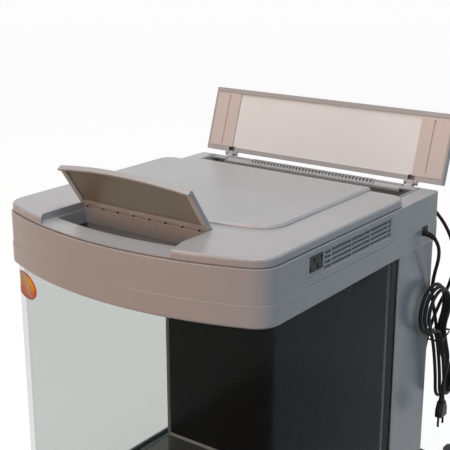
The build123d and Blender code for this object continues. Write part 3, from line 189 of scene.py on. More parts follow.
def colour(name, description, value):
    """Return a colour setting whose default is a display colour of 0 to 255 values."""
    return FloatVectorProperty(name=name, description=description, subtype="COLOR", size=3,
                               min=0, max=1, default=linear(*value))


class AquariumFinishes(PropertyGroup):
    silver: colour("Silver", "Moulded silver plastic of the hood, band and plinth", (174, 173, 174))
    liner: colour("Liner", "Pale lining under the rear lid", (228, 230, 232))
    end_cover: colour("End cover", "Covers at both ends inside the rear lid", (206, 198, 194))
    flap_liner: colour("Flap liner", "Olive grey lining under the feeding flap", (128, 124, 112))
    black: colour("Black", "Black moulded plastic", (18, 18, 18))
    floor_paint: colour("Floor paint", "Grey paint under the floor pane", (104, 104, 98))
    rubber: colour("Rubber", "Cords, plugs and glands", (15, 15, 16))
    glass_tint: colour("Glass tint", "Faint tint of the panes", (238, 239, 238))
    glass_edge: colour("Glass edge", "Cut edges of the panes", (72, 132, 112))
    foam: colour("Foam", "Filter foam", (38, 44, 52))
    label: colour("Label", "Middle of the oval label", (246, 196, 60))
    label_rim: colour("Label rim", "Rim of the oval label", (232, 110, 50))


class AquariumSizes(PropertyGroup):
    cord: FloatProperty(name="Cord", description="Diameter of both supply cords", unit="LENGTH",
                        default=0.006, min=0.003, max=0.012)
    relief: FloatProperty(name="Strain relief", description="Largest diameter of a strain relief",
                          unit="LENGTH", default=0.0105, min=0.007, max=0.02)
    label_w: FloatProperty(name="Label width", description="Width of the oval label", unit="LENGTH",
                           default=0.082, min=0.02, max=0.15)
    label_h: FloatProperty(name="Label height", description="Height of the oval label", unit="LENGTH",
                           default=0.043, min=0.01, max=0.1)
    pores: IntProperty(name="Foam cuts", description="Cuts along each edge of a foam block",
                       default=14, min=4, max=40)


# Node helpers

class Nodes:
    """Small builder for the nodes of one tree."""

    def __init__(self, tree):
        self.tree = tree
        self.tree.nodes.clear()

    def add(self, kind, **values):
        """Add a node with its own settings."""
        node = self.tree.nodes.new(kind)
        for key, value in values.items():
            setattr(node, key, value)
        return node

    def join(self, source, target):
        """Link an output to an input."""
        self.tree.links.new(source, target)

    def feed(self, socket, value):
        """Give an input a number, a colour or another node's output."""
        if isinstance(value, tuple):
            socket.default_value = (*value, 1)
        elif isinstance(value, (int, float)):
            socket.default_value = value
        else:
            self.join(value, socket)

    def maths(self, operation, *values):
        """Return the result of a Math node on one or two values."""
        node = self.add("ShaderNodeMath", operation=operation)
        for socket, value in zip(node.inputs, values):
            self.feed(socket, value)
        return node.outputs[0]

    def background_rays(self, strength):
        """Return strength for rays that show the background, and 0 for the rest."""
        path = self.add("ShaderNodeLightPath")
        total = path.outputs["Is Camera Ray"]
        for name in ("Is Glossy Ray", "Is Transmission Ray"):
            total = self.maths("MAXIMUM", total, path.outputs[name])
        return self.maths("MULTIPLY", total, strength)


class Maker(Nodes):
    """Small builder for one material."""

    def __init__(self, name):
        self.material = bpy.data.materials.new(name)
        self.material.use_nodes = True
        super().__init__(self.material.node_tree)
        self.output = self.add("ShaderNodeOutputMaterial")
        self.coords = self.add("ShaderNodeTexCoord")

    def noise(self, scale, detail=3.0, roughness=0.5, stretch=None):
        """Return the factor of a noise pattern on Object coordinates, scale in cells per metre."""
        vector = self.coords.outputs["Object"]
        if stretch:
            mapping = self.add("ShaderNodeMapping")
            mapping.inputs["Scale"].default_value = stretch
            self.join(vector, mapping.inputs["Vector"])
            vector = mapping.outputs["Vector"]
        texture = self.add("ShaderNodeTexNoise")
        texture.inputs["Scale"].default_value = scale
        texture.inputs["Detail"].default_value = detail
        texture.inputs["Roughness"].default_value = roughness
        self.join(vector, texture.inputs["Vector"])
        return texture.outputs["Fac"]

    def remap(self, value, start, end, low=0.0, high=1.0):
        """Map a value that goes from start to end to low and high, and hold it there beyond them."""
        node = self.add("ShaderNodeMapRange")
        for key, number in (("From Min", start), ("From Max", end), ("To Min", low), ("To Max", high)):
            node.inputs[key].default_value = number
        self.join(value, node.inputs["Value"])
        return node.outputs["Result"]

    def spread(self, value, low, high):
        """Map a noise factor, which stays about its middle, to low and high."""
        return self.remap(value, 0.3, 0.7, low, high)

    def blend(self, factor, first, second):
        """Mix two colours, each a tuple or a socket, by a factor."""
        node = self.add("ShaderNodeMix", data_type="RGBA")
        self.join(factor, node.inputs["Factor"])
        self.feed(node.inputs[6], first)
        self.feed(node.inputs[7], second)
        return node.outputs[2]

    def shades(self, factor, base, darker, lighter):
        """Return a colour that goes by a noise factor from a darker to a lighter shade of base."""
        low = tuple(channel * darker for channel in base)
        high = tuple(min(channel * lighter, 1) for channel in base)
        return self.blend(self.spread(factor, 0, 1), low, high)

    def bump(self, height, depth, strength=1.0, under=None):
        """Return a normal with relief of a depth in metres, over another normal where one is given."""
        node = self.add("ShaderNodeBump")
        node.inputs["Strength"].default_value = strength
        node.inputs["Distance"].default_value = depth
        self.join(height, node.inputs["Height"])
        if under:
            self.join(under, node.inputs["Normal"])
        return node.outputs["Normal"]

    def levelness(self):
        """Return 1 where the surface is level, falling to 0 where it stands upright."""
        parts = self.add("ShaderNodeSeparateXYZ")
        self.join(self.coords.outputs["Normal"], parts.inputs[0])
        return self.maths("ABSOLUTE", parts.outputs["Z"])

    def shader(self, kind, tint):
        """Add a plain shader of one colour."""
        node = self.add(kind)
        node.inputs["Color"].default_value = (*tint, 1)
        return node

    def surface(self, base, rough, normal=None, **fixed):
        """Add the main shader, with fixed values for the inputs that the keywords name."""
        shader = self.add("ShaderNodeBsdfPrincipled")
        self.feed(shader.inputs["Base Color"], base)
        self.feed(shader.inputs["Roughness"], rough)
        if normal:
            self.join(normal, shader.inputs["Normal"])
        for key, value in fixed.items():
            shader.inputs[key.replace("_", " ")].default_value = value
        return shader

    def mix_shaders(self, factor, first, second):
        """Add a shader that goes from first to second by a factor."""
        node = self.add("ShaderNodeMixShader")
        for socket, source in zip(node.inputs, (factor, first.outputs[0], second.outputs[0])):
            self.join(source, socket)
        return node

    def done(self, shader):
        """Put a shader on the material's output and return the material."""
        self.join(shader.outputs[0], self.output.inputs["Surface"])
        return self.material


def metallic_plastic(name, base, rough=0.3, metallic=0.07, grain=3200.0):
    """Silver moulding: fine flakes in the colour, a faint moulded grain, soft handling marks and
    eased edges."""
    make = Maker(name)
    cloud = make.noise(7, 3)
    flake = make.noise(grain, 1)
    tone = make.blend(make.spread(flake, 0, 0.35), make.shades(cloud, base, 0.965, 1.03),
                      tuple(min(channel * 1.25, 1) for channel in base))
    marks = make.noise(22, 3, 0.5, stretch=(1, 1, 3))
    gloss = make.spread(marks, rough - 0.02, rough + 0.04)
    eased = make.add("ShaderNodeBevel", samples=4)
    eased.inputs["Radius"].default_value = EDGE_R
    normal = make.bump(make.noise(1400, 2), 0.00003, 0.3, under=eased.outputs[0])
    normal = make.bump(make.noise(9, 2), 0.0009, 0.16, under=normal)
    return make.done(make.surface(tone, gloss, normal, Metallic=metallic, Specular_IOR_Level=0.2,
                                  Coat_Weight=0.1, Coat_Roughness=0.16))


def moulded_plastic(name, base, rough=0.45, grain=900.0, depth=0.00006, contrast=0.12,
                    gleam=0.22, **fixed):
    """Plain moulded plastic with a fine spark-eroded grain."""
    make = Maker(name)
    tone = make.shades(make.noise(24, 4), base, 1 - contrast, 1 + contrast)
    gloss = make.spread(make.noise(110, 5, 0.6), rough - 0.07, rough + 0.07)
    normal = make.bump(make.noise(grain, 2), depth, 0.5)
    return make.done(make.surface(tone, gloss, normal, Specular_IOR_Level=gleam, **fixed))


def rubber_skin(name, base):
    """Cord and plug sheath: dull, with dust in the hollows and faint drawing lines."""
    make = Maker(name)
    dusty = tuple(channel * 1.6 + 0.002 for channel in base)
    tone = make.blend(make.spread(make.noise(45, 5, 0.6), 0, 0.6), base, dusty)
    gloss = make.spread(make.noise(260, 3), 0.42, 0.6)
    normal = make.bump(make.noise(1500, 3), 0.00005, 0.45)
    return make.done(make.surface(tone, gloss, normal, Specular_IOR_Level=0.16))


def bright_metal(name, base, rough=0.24):
    """Bare drawn metal with fine lines along its length."""
    make = Maker(name)
    tone = make.shades(make.noise(90, 3), base, 0.93, 1.05)
    gloss = make.spread(make.noise(2400, 2, stretch=(0.05, 1, 1)), rough - 0.06, rough + 0.08)
    normal = make.bump(make.noise(2600, 2, stretch=(0.04, 1, 1)), 0.00002, 0.4)
    return make.done(make.surface(tone, gloss, normal, Metallic=1.0))


def pane(name, tint, edge, haze=0.001, film=GLASS_FILM, edge_is_level=True):
    """Clear float glass: lets the view through with a faint tint, mirrors at a slant where the view
    enters it, carries a thin uneven film, and is green on its cut edges. Those are level on an
    upright pane, where edge_is_level is true, and upright on a level one."""
    make = Maker(name)
    clear = make.shader("ShaderNodeBsdfTransparent", tint)
    gloss = make.shader("ShaderNodeBsdfGlossy", GLASS_MIRROR)
    make.join(make.spread(make.noise(20, 4), 0.01, 0.05), gloss.inputs["Roughness"])
    fresnel = make.add("ShaderNodeFresnel")
    fresnel.inputs["IOR"].default_value = MIRROR_IOR
    facing = make.add("ShaderNodeNewGeometry")
    outside = make.maths("SUBTRACT", 1.0, facing.outputs["Backfacing"])
    sheen = make.mix_shaders(make.maths("MULTIPLY", fresnel.outputs[0], outside), clear, gloss)
    dust = make.shader("ShaderNodeBsdfDiffuse", film)
    filmed = make.mix_shaders(make.spread(make.noise(9, 5, 0.6), haze * 0.6, haze * 1.4), sheen, dust)
    cut = make.surface(make.shades(make.noise(300, 3), edge, 0.7, 1.3), 0.25, IOR=GLASS_IOR)
    on_edge = make.maths("GREATER_THAN" if edge_is_level else "LESS_THAN", make.levelness(), 0.5)
    return make.done(make.mix_shaders(on_edge, filmed, cut))


def painted_pane(name, paint, edge):
    """Floor glass with grey paint on its underside: glossy above, green at its cut edges."""
    make = Maker(name)
    tone = make.blend(make.levelness(), make.shades(make.noise(300, 3), edge, 0.7, 1.3),
                      make.shades(make.noise(18, 4), paint, 0.85, 1.15))
    gloss = make.spread(make.noise(40, 5, 0.6), 0.06, 0.16)
    normal = make.bump(make.noise(12, 2), 0.0002, 0.2)
    return make.done(make.surface(tone, gloss, normal, IOR=GLASS_IOR))


def open_foam(name, base):
    """Coarse open-cell filter foam: light walls round pores darkened with painted shade."""
    make = Maker(name)
    cells = make.add("ShaderNodeTexVoronoi", feature="DISTANCE_TO_EDGE")
    cells.inputs["Scale"].default_value = 420
    make.join(make.coords.outputs["Object"], cells.inputs["Vector"])
    wall = make.remap(cells.outputs["Distance"], 0.0, 0.12, 1.0, 0.0)
    # Painted shade: the middles of the cells, the pores, are darkened to a quarter of the foam colour,
    # and the walls round them take a lighter shade of it
    pore_shade = tuple(channel * 0.25 for channel in base)
    light = tuple(channel * 1.5 for channel in base)
    tone = make.blend(wall, pore_shade, make.shades(make.noise(30, 4), light, 0.8, 1.2))
    return make.done(make.surface(tone, 0.9, make.bump(wall, 0.0012, 0.9)))


def silicone_skin(name):
    """Cloudy sealant with an uneven, smoothed surface."""
    make = Maker(name)
    tone = make.shades(make.noise(160, 4), SEALANT, 0.85, 1.08)
    normal = make.bump(make.noise(220, 4), 0.0004, 0.5)
    return make.done(make.surface(tone, 0.3, normal, Transmission_Weight=0.35, IOR=1.4))


def printed_label(name, middle_tone, rim):
    """Glossy oval label: orange rim, yellow middle and a few soft bubbles, by the label's own map."""
    make = Maker(name)
    place = make.coords.outputs["UV"]
    length = make.add("ShaderNodeVectorMath", operation="LENGTH")
    make.join(place, length.inputs[0])
    edge = make.remap(length.outputs["Value"], 0.74, 0.86)
    parts = make.add("ShaderNodeSeparateXYZ")
    make.join(place, parts.inputs[0])
    body = make.blend(make.remap(parts.outputs["Y"], 0.5, -0.8), middle_tone, rim)
    bubbles = make.add("ShaderNodeTexVoronoi")
    bubbles.inputs["Scale"].default_value = 2.3
    make.join(place, bubbles.inputs["Vector"])
    ring = make.remap(bubbles.outputs["Distance"], 0.20, 0.26, 0.75, 0.0)
    tone = make.blend(edge, make.blend(ring, body, linear(*BUBBLE_YELLOW)), rim)
    normal = make.bump(make.noise(90, 3), 0.0002, 0.3)
    return make.done(make.surface(tone, 0.35, normal, Specular_IOR_Level=0.15))


def put_on(material, *nodes):
    """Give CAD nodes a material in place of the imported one."""
    for name in nodes:
        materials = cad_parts[name].data.materials
        materials.clear()
        materials.append(material)


def eased_block(size, ease, segments):
    """Return a bmesh of a block round the origin with rounded edges."""
    bm = bmesh.new()
    bmesh.ops.create_cube(bm, size=1)
    bmesh.ops.scale(bm, vec=size, verts=bm.verts)
    bmesh.ops.bevel(bm, geom=bm.edges[:], offset=ease, offset_type="OFFSET", affect="EDGES",
                    segments=segments, profile=0.5, material=-1)
    return bm


def mesh_piece(name, bm, body, material, smooth=True):
    """Turn a bmesh into a finished piece that rides on a body."""
    mesh = bpy.data.meshes.new(name)
    bm.to_mesh(mesh)
    bm.free()
    for face in mesh.polygons:
        face.use_smooth = smooth
    mesh.materials.append(material)
    piece = bpy.data.objects.new(name, mesh)
    bpy.context.scene.collection.objects.link(piece)
    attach(piece, body)
    return piece


def spline_piece(name, points, width, material, thickness=None):
    """Make a round cord along one smooth open spline through the route's points."""
    curve = bpy.data.curves.new(name, "CURVE")
    curve.dimensions = "3D"
    curve.bevel_depth = width / 2
    curve.bevel_resolution = 5
    curve.resolution_u = 6
    curve.use_fill_caps = True
    spline = curve.splines.new("NURBS")
    spline.points.add(len(points) - 1)
    for i, (target, place) in enumerate(zip(spline.points, points)):
        target.co = (*place, 1)
        target.radius = thickness[i] if thickness else 1
    spline.order_u = 3
    spline.use_endpoint_u = True
    spline.use_smooth = True
    curve.materials.append(material)
    piece = bpy.data.objects.new(name, curve)
    bpy.context.scene.collection.objects.link(piece)
    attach(piece, "tank")
    return piece


def hank_place(v, u, layer):
    """Turn a point of the hank's plane into the model's frame."""
    turn = math.radians(HANK_TILT)
    x, y, z = HANK_ORIGIN
    return (x + layer, y + v * math.cos(turn) - u * math.sin(turn),
            z + v * math.sin(turn) + u * math.cos(turn))


def neck_point(bend, lean, step, side, up, turns):
    """Return a point, in the hank's plane, of the arc that leads from its waist into a lobe."""
    angle = lean * (step + 0.5) / NECK_STEPS
    own = (bend + HANK_SHRINK * turns) / math.cos(lean / NECK_STEPS / 2)
    return (side * (HANK_WAIST + bend - own * math.cos(angle)), up * own * math.sin(angle),
            HANK_PITCH / 2 * turns)


def hank_points():
    """Return the control points of the tied hank: loops drawn in at a waist, side by side."""
    points = []
    for half in range(2 * HANK_LOOPS):
        side, up = (1, -1) if half % 2 == 0 else (-1, 1)
        radius, reach = HANK_LOW if up < 0 else HANK_TOP
        bend = (HANK_WAIST**2 + reach**2 - radius**2) / (2 * (radius - HANK_WAIST))
        lean = math.atan2(reach, HANK_WAIST + bend)
        sweep = math.pi + 2 * lean
        points += [neck_point(bend, lean, i, side, up, half) for i in range(NECK_STEPS)]
        for i in range(LOBE_STEPS):
            angle = -lean + sweep * (i + 0.5) / LOBE_STEPS
            share = min(max(angle / math.pi, 0), 1)
            own = (radius - HANK_SHRINK * (half + share)) / math.cos(sweep / LOBE_STEPS / 2)
            points.append((side * own * math.cos(angle), up * (reach + own * math.sin(angle)),
                           HANK_PITCH / 2 * (half + share)))
        points += [neck_point(bend, lean, i, -side, up, half + 1) for i in reversed(range(NECK_STEPS))]
    return [hank_place(*point) for point in points]


def coil_points():
    """Return the control points of the second cord's coil, from its top turn down."""
    corner = COIL_R / math.cos(math.pi / COIL_STEPS)
    top = COIL_Z + COIL_PITCH * COIL_LOOPS
    points = []
    for i in range(COIL_LOOPS * COIL_STEPS):
        angle = (i + 0.5) * math.tau / COIL_STEPS
        fall = COIL_PITCH * (i + 0.5) / COIL_STEPS
        points.append((COIL_X + corner * math.cos(angle), COIL_Y + corner * math.sin(angle), top - fall))
    return points


def first_route():
    """Return the first cord's route: out of its side outlet, down, through its hank and to its plug."""
    end_v = HANK_WAIST - HANK_SHRINK * 2 * HANK_LOOPS
    end_layer = HANK_PITCH * HANK_LOOPS
    return [(0.244, 0.226, 0.510), (0.263, 0.226, 0.510), (0.272, 0.238, 0.489),
            (0.267, 0.252, 0.461), (0.257, 0.258, 0.428), (0.2515, 0.264, 0.394),
            hank_place(HANK_WAIST, 0.030, 0), hank_place(HANK_WAIST, 0.006, 0), *hank_points(),
            hank_place(end_v, -0.006, end_layer), hank_place(end_v, -0.022, end_layer),
            (0.2835, 0.280, 0.276), (0.285, 0.269, 0.254), (0.284, 0.262, 0.232),
            (0.284, 0.262, 0.214)]


def second_route():
    """Return the second cord's route: out of its outlet at the back, in a bow past the right side,
    down the rear, round its coil on the floor and to its plug."""
    return [(0.234, 0.274, 0.532), (0.234, 0.291, 0.532), (0.246, 0.302, 0.514),
            (0.262, 0.305, 0.487), (0.273, 0.306, 0.452), (0.268, 0.306, 0.405),
            (0.245, 0.303, 0.350), (0.228, 0.300, 0.280), (0.226, 0.299, 0.205),
            (0.225, 0.299, 0.135), (0.225, 0.300, 0.085), (0.225, 0.306, 0.050),
            (0.227, 0.321, 0.0272), (0.227, 0.334, 0.0272), *coil_points(),
            (0.227, 0.350, 0.003), (0.230, 0.372, 0.003), (0.231, 0.392, 0.007),
            (0.231, 0.408, 0.007)]


def middle(first, second):
    """Return the point half way between two points."""
    return tuple((a + b) / 2 for a, b in zip(first, second))


def outward(travel, stand_off):
    """Return the point of the bent front glass at a distance along it from where the left corner
    meets the bow, standing off its outside, as x and y."""
    start = math.atan2(CORNER_Y - BOW_CENTRE_Y, CORNER_X)
    if travel < 0:
        radius = CORNER_R - GLASS_INSET
        angle = start + travel / radius
        radius += stand_off
        return CORNER_X + radius * math.cos(angle), CORNER_Y + radius * math.sin(angle)
    radius = BOW_RADIUS - GLASS_INSET
    angle = start + travel / radius
    radius += stand_off
    return radius * math.cos(angle), BOW_CENTRE_Y + radius * math.sin(angle)


# Operators, one for each group of pieces

class AQUARIUM_OT_stage(Operator):
    """Make the camera, the pale floor, the backdrop light and the lamps"""
    bl_idname = "aquarium.stage"
    bl_label = "Stage"

    def execute(self, context):
        scene = context.scene
        scene.view_settings.view_transform = "Standard"
        self.camera(scene)
        self.floor(scene)
        self.world(scene)
        for lamp in LAMPS:
            self.lamp(scene, *lamp)
        return {"FINISHED"}

    def camera(self, scene):
        """Make the camera from its place and angles."""
        data = bpy.data.cameras.new("camera")
        data.lens = CAMERA_LENS
        data.sensor_width = SENSOR_W
        data.clip_end = CAMERA_REACH
        yaw, pitch, roll = (math.radians(a) for a in (CAMERA_YAW, CAMERA_PITCH, CAMERA_ROLL))
        ahead = Vector((-math.sin(yaw) * math.cos(pitch), math.cos(yaw) * math.cos(pitch),
                        -math.sin(pitch)))
        right = Vector((math.cos(yaw), math.sin(yaw), 0))
        above = right.cross(ahead)
        turned = right * math.cos(roll) + above * math.sin(roll)
        upward = above * math.cos(roll) - right * math.sin(roll)
        camera = bpy.data.objects.new("camera", data)
        camera.matrix_world = Matrix.Translation(CAMERA_PLACE) @ Matrix(
            (turned, upward, -ahead)).transposed().to_4x4()
        scene.collection.objects.link(camera)
        scene.camera = camera

    def floor(self, scene):
        """Make the pale floor, which shows brightly and still takes the object's shadow."""
        bm = bmesh.new()
        bmesh.ops.create_grid(bm, x_segments=2, y_segments=2, size=FLOOR_SIZE)
        mesh = bpy.data.meshes.new("floor")
        bm.to_mesh(mesh)
        bm.free()
        floor = bpy.data.objects.new("floor", mesh)
        scene.collection.objects.link(floor)
        make = Maker("floor_paper")
        base = make.surface(make.shades(make.noise(3, 3), FLOOR_GREY, 0.99, 1.01), 0.85)
        glow = make.shader("ShaderNodeEmission", (1, 1, 1))
        make.join(make.background_rays(FLOOR_GLOW), glow.inputs["Strength"])
        total = make.add("ShaderNodeAddShader")
        make.join(base.outputs[0], total.inputs[0])
        make.join(glow.outputs[0], total.inputs[1])
        mesh.materials.append(make.done(total))

    def world(self, scene):
        """Make the white backdrop, which gives the object only a little light."""
        world = bpy.data.worlds.new("backdrop")
        scene.world = world
        world.use_nodes = True
        nodes = Nodes(world.node_tree)
        light = nodes.add("ShaderNodeBackground")
        light.inputs["Color"].default_value = (1, 1, 1, 1)
        fill = nodes.maths("MAXIMUM", nodes.background_rays(1.0), WORLD_FILL)
        nodes.join(fill, light.inputs["Strength"])
        output = nodes.add("ShaderNodeOutputWorld")
        nodes.join(light.outputs[0], output.inputs["Surface"])

    def lamp(self, scene, name, place, aim, size, watts, tint):
        """Make one round lamp that faces a point."""
        data = bpy.data.lights.new(name, "AREA")
        data.shape = "DISK"
        data.size = size
        data.energy = watts
        data.color = tint
        lamp = bpy.data.objects.new(name, data)
        lamp.location = place
        lamp.rotation_euler = (Vector(aim) - Vector(place)).to_track_quat("-Z", "Y").to_euler()
        scene.collection.objects.link(lamp)


class AQUARIUM_OT_finishes(Operator):
    """Give every carried-over part its own finish"""
    bl_idname = "aquarium.finishes"
    bl_label = "Finishes"

    def execute(self, context):
        look = context.scene.aquarium_finishes
        silver = tuple(look.silver)
        put_on(metallic_plastic("silver_moulding", silver), "hood_frame", "hood_cap", "top_band",
               "base_frame", "rear_housing", "vent_insert", "rear_rail", "rear_vent_comb")
        put_on(metallic_plastic("silver_lid", silver, rough=0.33), "rear_lid")
        put_on(metallic_plastic("silver_flap", silver, rough=0.33), "feed_flap", "flap_hinge_strip")
        put_on(metallic_plastic("silver_brackets", silver, rough=0.4), "lid_hinge_brackets")
        put_on(metallic_plastic("lid_lining", tuple(look.liner), rough=0.4, metallic=0.1), "lid_panel")
        put_on(metallic_plastic("lid_end_moulding", tuple(look.end_cover), rough=0.4), "lid_end_covers")
        put_on(metallic_plastic("flap_lining", tuple(look.flap_liner), rough=0.42, metallic=0.2),
               "feed_flap_panel")
        tint, edge = tuple(look.glass_tint), tuple(look.glass_edge)
        put_on(pane("tank_panes", tint, edge), "bent_front_glass", "rear_glass", "filter_dividers")
        put_on(painted_pane("floor_pane", tuple(look.floor_paint), edge), "floor_glass")
        put_on(pane("lamp_window", WINDOW_TINT, edge, haze=0.2, film=WINDOW_FILM, edge_is_level=False),
               "lamp_cover")
        black = tuple(look.black)
        put_on(moulded_plastic("gloss_black_panel", black, rough=0.2, grain=160, depth=0.00001,
                               gleam=0.1), "partition_panel")
        put_on(moulded_plastic("switch_black", black, rough=0.3), "switch_housings")
        put_on(moulded_plastic("rocker_black", black, rough=0.22), "lamp_rocker", "pump_rocker")
        put_on(moulded_plastic("pump_black", black, rough=0.4), "pump_body", "pump_intake", "riser_pipe",
               "outlet_nozzle", "lamp_driver")
        put_on(moulded_plastic("basket_black", black, rough=0.5, depth=0.0001), "filter_basket")
        put_on(moulded_plastic("rotor_drum", linear(*ROTOR_GREY), rough=0.35), "pump_rotor")
        put_on(moulded_plastic("lamp_white", linear(*LAMP_WHITE), rough=0.35, contrast=0.03),
               "lamp_housing", "lamp_sockets")
        put_on(moulded_plastic("lamp_tube_glass", linear(*TUBE_WHITE), rough=0.18, contrast=0.02,
                               Coat_Weight=0.6), "lamp_tubes")
        put_on(rubber_skin("gland_rubber", tuple(look.rubber)), "side_cord_gland", "rear_cord_gland",
               "floor_mat", "hank_tie")
        put_on(moulded_plastic("plug_black", tuple(look.rubber), rough=0.38, depth=0.0001), "plug_a",
               "plug_b")
        put_on(bright_metal("pin_metal", PIN_METAL), "flap_hinge_pin", "lid_hinge_pins")
        put_on(silicone_skin("clear_sealant"), "silicone_beads")
        return {"FINISHED"}


class AQUARIUM_OT_cords(Operator):
    """Make both supply cords and their strain reliefs"""
    bl_idname = "aquarium.cords"
    bl_label = "Cords"

    def execute(self, context):
        sizes = context.scene.aquarium_sizes
        sheath = rubber_skin("cord_sheath", tuple(context.scene.aquarium_finishes.rubber))
        for name, route, nodes, extras, length in (
                ("supply_cord_a", first_route(), ("cord_a_free", "cord_a_hank", "cord_a_tail"),
                 ["plug_a", "hank_tie"], CORD_A_LENGTH),
                ("supply_cord_b", second_route(), ("cord_b_free", "cord_b_coil", "cord_b_tail"),
                 ["plug_b"], CORD_B_LENGTH)):
            cord = spline_piece(name, route, sizes.cord, sheath)
            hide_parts(*nodes)
            relief = spline_piece(name.replace("supply_cord", "strain_relief"),
                                  [route[0], route[1], middle(route[1], route[2])], sizes.relief, sheath,
                                  thickness=(1.0, RELIEF_MIDDLE, sizes.cord / sizes.relief * RELIEF_END))
        return {"FINISHED"}


class AQUARIUM_OT_foam(Operator):
    """Make the two blocks of filter foam"""
    bl_idname = "aquarium.foam"
    bl_label = "Filter foam"

    def execute(self, context):
        material = open_foam("filter_foam", tuple(context.scene.aquarium_finishes.foam))
        low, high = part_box("filter_sponges")
        cuts = context.scene.aquarium_sizes.pores
        for name, bottom, top in (("foam_block_low", low.z, low.z + FOAM_LOW_TOP),
                                  ("foam_block_high", low.z + FOAM_HIGH_BOTTOM, high.z)):
            size = Vector((high.x - low.x, high.y - low.y, top - bottom)) - Vector((FOAM_SLACK,) * 3)
            bm = eased_block(size, FOAM_ROUND, 3)
            long_edges = [edge for edge in bm.edges if edge.calc_length() > FOAM_LONG_EDGE]
            bmesh.ops.subdivide_edges(bm, edges=long_edges, cuts=cuts, use_grid_fill=True)
            for vert in bm.verts:
                dent = noise.noise(vert.co * 90) + 0.6 * noise.noise(vert.co * 300)
                vert.co *= 1 - FOAM_DENT * abs(dent)
            bmesh.ops.translate(bm, vec=((low.x + high.x) / 2, (low.y + high.y) / 2, (bottom + top) / 2),
                                verts=bm.verts)
            bmesh.ops.recalc_face_normals(bm, faces=bm.faces)
            block = mesh_piece(name, bm, "tank", material)
            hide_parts("filter_sponges")
        return {"FINISHED"}


class AQUARIUM_OT_flap_fittings(Operator):
    """Make the beads along the flap's hinge, the thin dark discs of painted shade round them, and the
    feeding pocket's lower rear wall
    """
    bl_idname = "aquarium.flap_fittings"
    bl_label = "Flap fittings"

    def execute(self, context):
        beads = bmesh.new()
        shade_discs = bmesh.new()
        face_y = FLAP_AXIS_Y - KNUCKLE_R
        for i in range(FLAP_KNUCKLES):
            x = FIRST_KNUCKLE_X + KNUCKLE_PITCH * i
            bead = bmesh.ops.create_uvsphere(beads, u_segments=16, v_segments=10, radius=BEAD_R)["verts"]
            bmesh.ops.translate(beads, vec=(x, face_y - BEAD_OUT, FLAP_AXIS_Z + BEAD_OUT), verts=bead)
            # Painted shade: a thin dark disc round each bead stands in for the shadowed gap at the
            # knuckle
            shade_disc = bmesh.ops.create_cone(shade_discs, cap_ends=True, segments=24, radius1=SHADE_DISC_R,
                                         radius2=SHADE_DISC_R, depth=SHADE_DISC_T)["verts"]
            bmesh.ops.rotate(shade_discs, verts=shade_disc, matrix=Matrix.Rotation(math.pi / 2, 3, "X"))
            bmesh.ops.translate(shade_discs, vec=(x, face_y - SHADE_DISC_OUT, FLAP_AXIS_Z), verts=shade_disc)
        mesh_piece("hinge_beads", beads, "flap", bright_metal("bead_metal", BEAD_METAL))
        mesh_piece("hinge_bead_shade_discs", shade_discs, "tank",
                   moulded_plastic("painted_bead_shade", PAINTED_SEAT_SHADE), smooth=False)
        wall = eased_block((2 * POCKET_HALF, WALL_T, WALL_H), WALL_EASE, 2)
        middle_z = POCKET_LOW_Z + WALL_LAP - WALL_H / 2
        bmesh.ops.translate(wall, vec=(FLAP_X, POCKET_REAR_Y + WALL_T / 2, middle_z), verts=wall.verts)
        mesh_piece("pocket_rear_wall", wall, "tank",
                   metallic_plastic("pocket_wall", tuple(context.scene.aquarium_finishes.silver)))
        return {"FINISHED"}


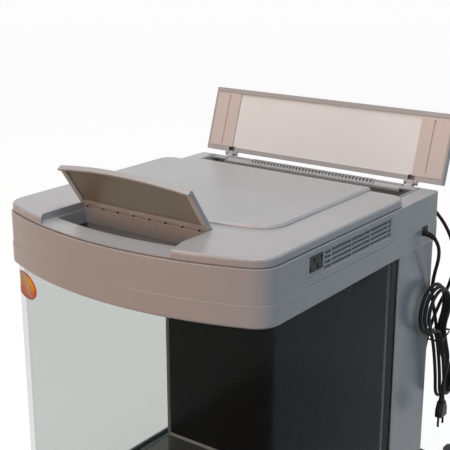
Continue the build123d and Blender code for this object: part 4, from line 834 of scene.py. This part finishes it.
class AQUARIUM_OT_label(Operator):
    """Make the plain oval label on the bent front glass"""
    bl_idname = "aquarium.label"
    bl_label = "Oval label"

    def execute(self, context):
        sizes = context.scene.aquarium_sizes
        look = context.scene.aquarium_finishes
        bm = bmesh.new()
        bmesh.ops.create_circle(bm, cap_ends=True, segments=LABEL_SPOKES, radius=1.0)
        for _ in range(LABEL_RINGS):
            face = max(bm.faces, key=lambda f: len(f.verts))
            bmesh.ops.inset_region(bm, faces=[face], thickness=1 / (LABEL_RINGS + 1.0),
                                   use_even_offset=True)
        map_layer = bm.loops.layers.uv.new("UVMap")
        for face in bm.faces:
            for loop in face.loops:
                loop[map_layer].uv = loop.vert.co.xy
        for vert in bm.verts:
            x, y = outward(LABEL_TRAVEL + vert.co.x * sizes.label_w / 2, LABEL_GAP)
            vert.co = Vector((x, y, LABEL_Z + vert.co.y * sizes.label_h / 2))
        bmesh.ops.recalc_face_normals(bm, faces=bm.faces)
        outer = Vector((-1, -1, 0))
        if sum(face.normal.dot(outer) for face in bm.faces) < 0:
            bmesh.ops.reverse_faces(bm, faces=bm.faces)
        label = mesh_piece("oval_label", bm, "tank",
                           printed_label("label_print", tuple(look.label), tuple(look.label_rim)))
        solid = label.modifiers.new("thickness", "SOLIDIFY")
        solid.thickness = LABEL_T
        solid.offset = 1
        return {"FINISHED"}


class AQUARIUM_PT_panel(Panel):
    """Sizes, colours and steps of the aquarium"""
    bl_label = "Aquarium"
    bl_space_type = "VIEW_3D"
    bl_region_type = "UI"
    bl_category = "Aquarium"

    def draw(self, context):
        layout = self.layout
        for group in (context.scene.aquarium_sizes, context.scene.aquarium_finishes):
            for name in group.__annotations__:
                layout.prop(group, name)
        for step in STEPS:
            layout.operator(step.bl_idname)


STEPS = (AQUARIUM_OT_stage, AQUARIUM_OT_finishes, AQUARIUM_OT_cords, AQUARIUM_OT_foam,
         AQUARIUM_OT_flap_fittings, AQUARIUM_OT_label)
CLASSES = (AquariumFinishes, AquariumSizes, *STEPS, AQUARIUM_PT_panel)


def register():
    """Register the settings, the operators and the panel."""
    for item in CLASSES:
        bpy.utils.register_class(item)
    bpy.types.Scene.aquarium_finishes = PointerProperty(type=AquariumFinishes)
    bpy.types.Scene.aquarium_sizes = PointerProperty(type=AquariumSizes)


def unregister():
    """Take them away again."""
    del bpy.types.Scene.aquarium_sizes
    del bpy.types.Scene.aquarium_finishes
    for item in reversed(CLASSES):
        bpy.utils.unregister_class(item)


def main():
    register()
    for step in STEPS:
        group, name = step.bl_idname.split(".")
        getattr(getattr(bpy.ops, group), name)()


if __name__ == "__main__":
    main()
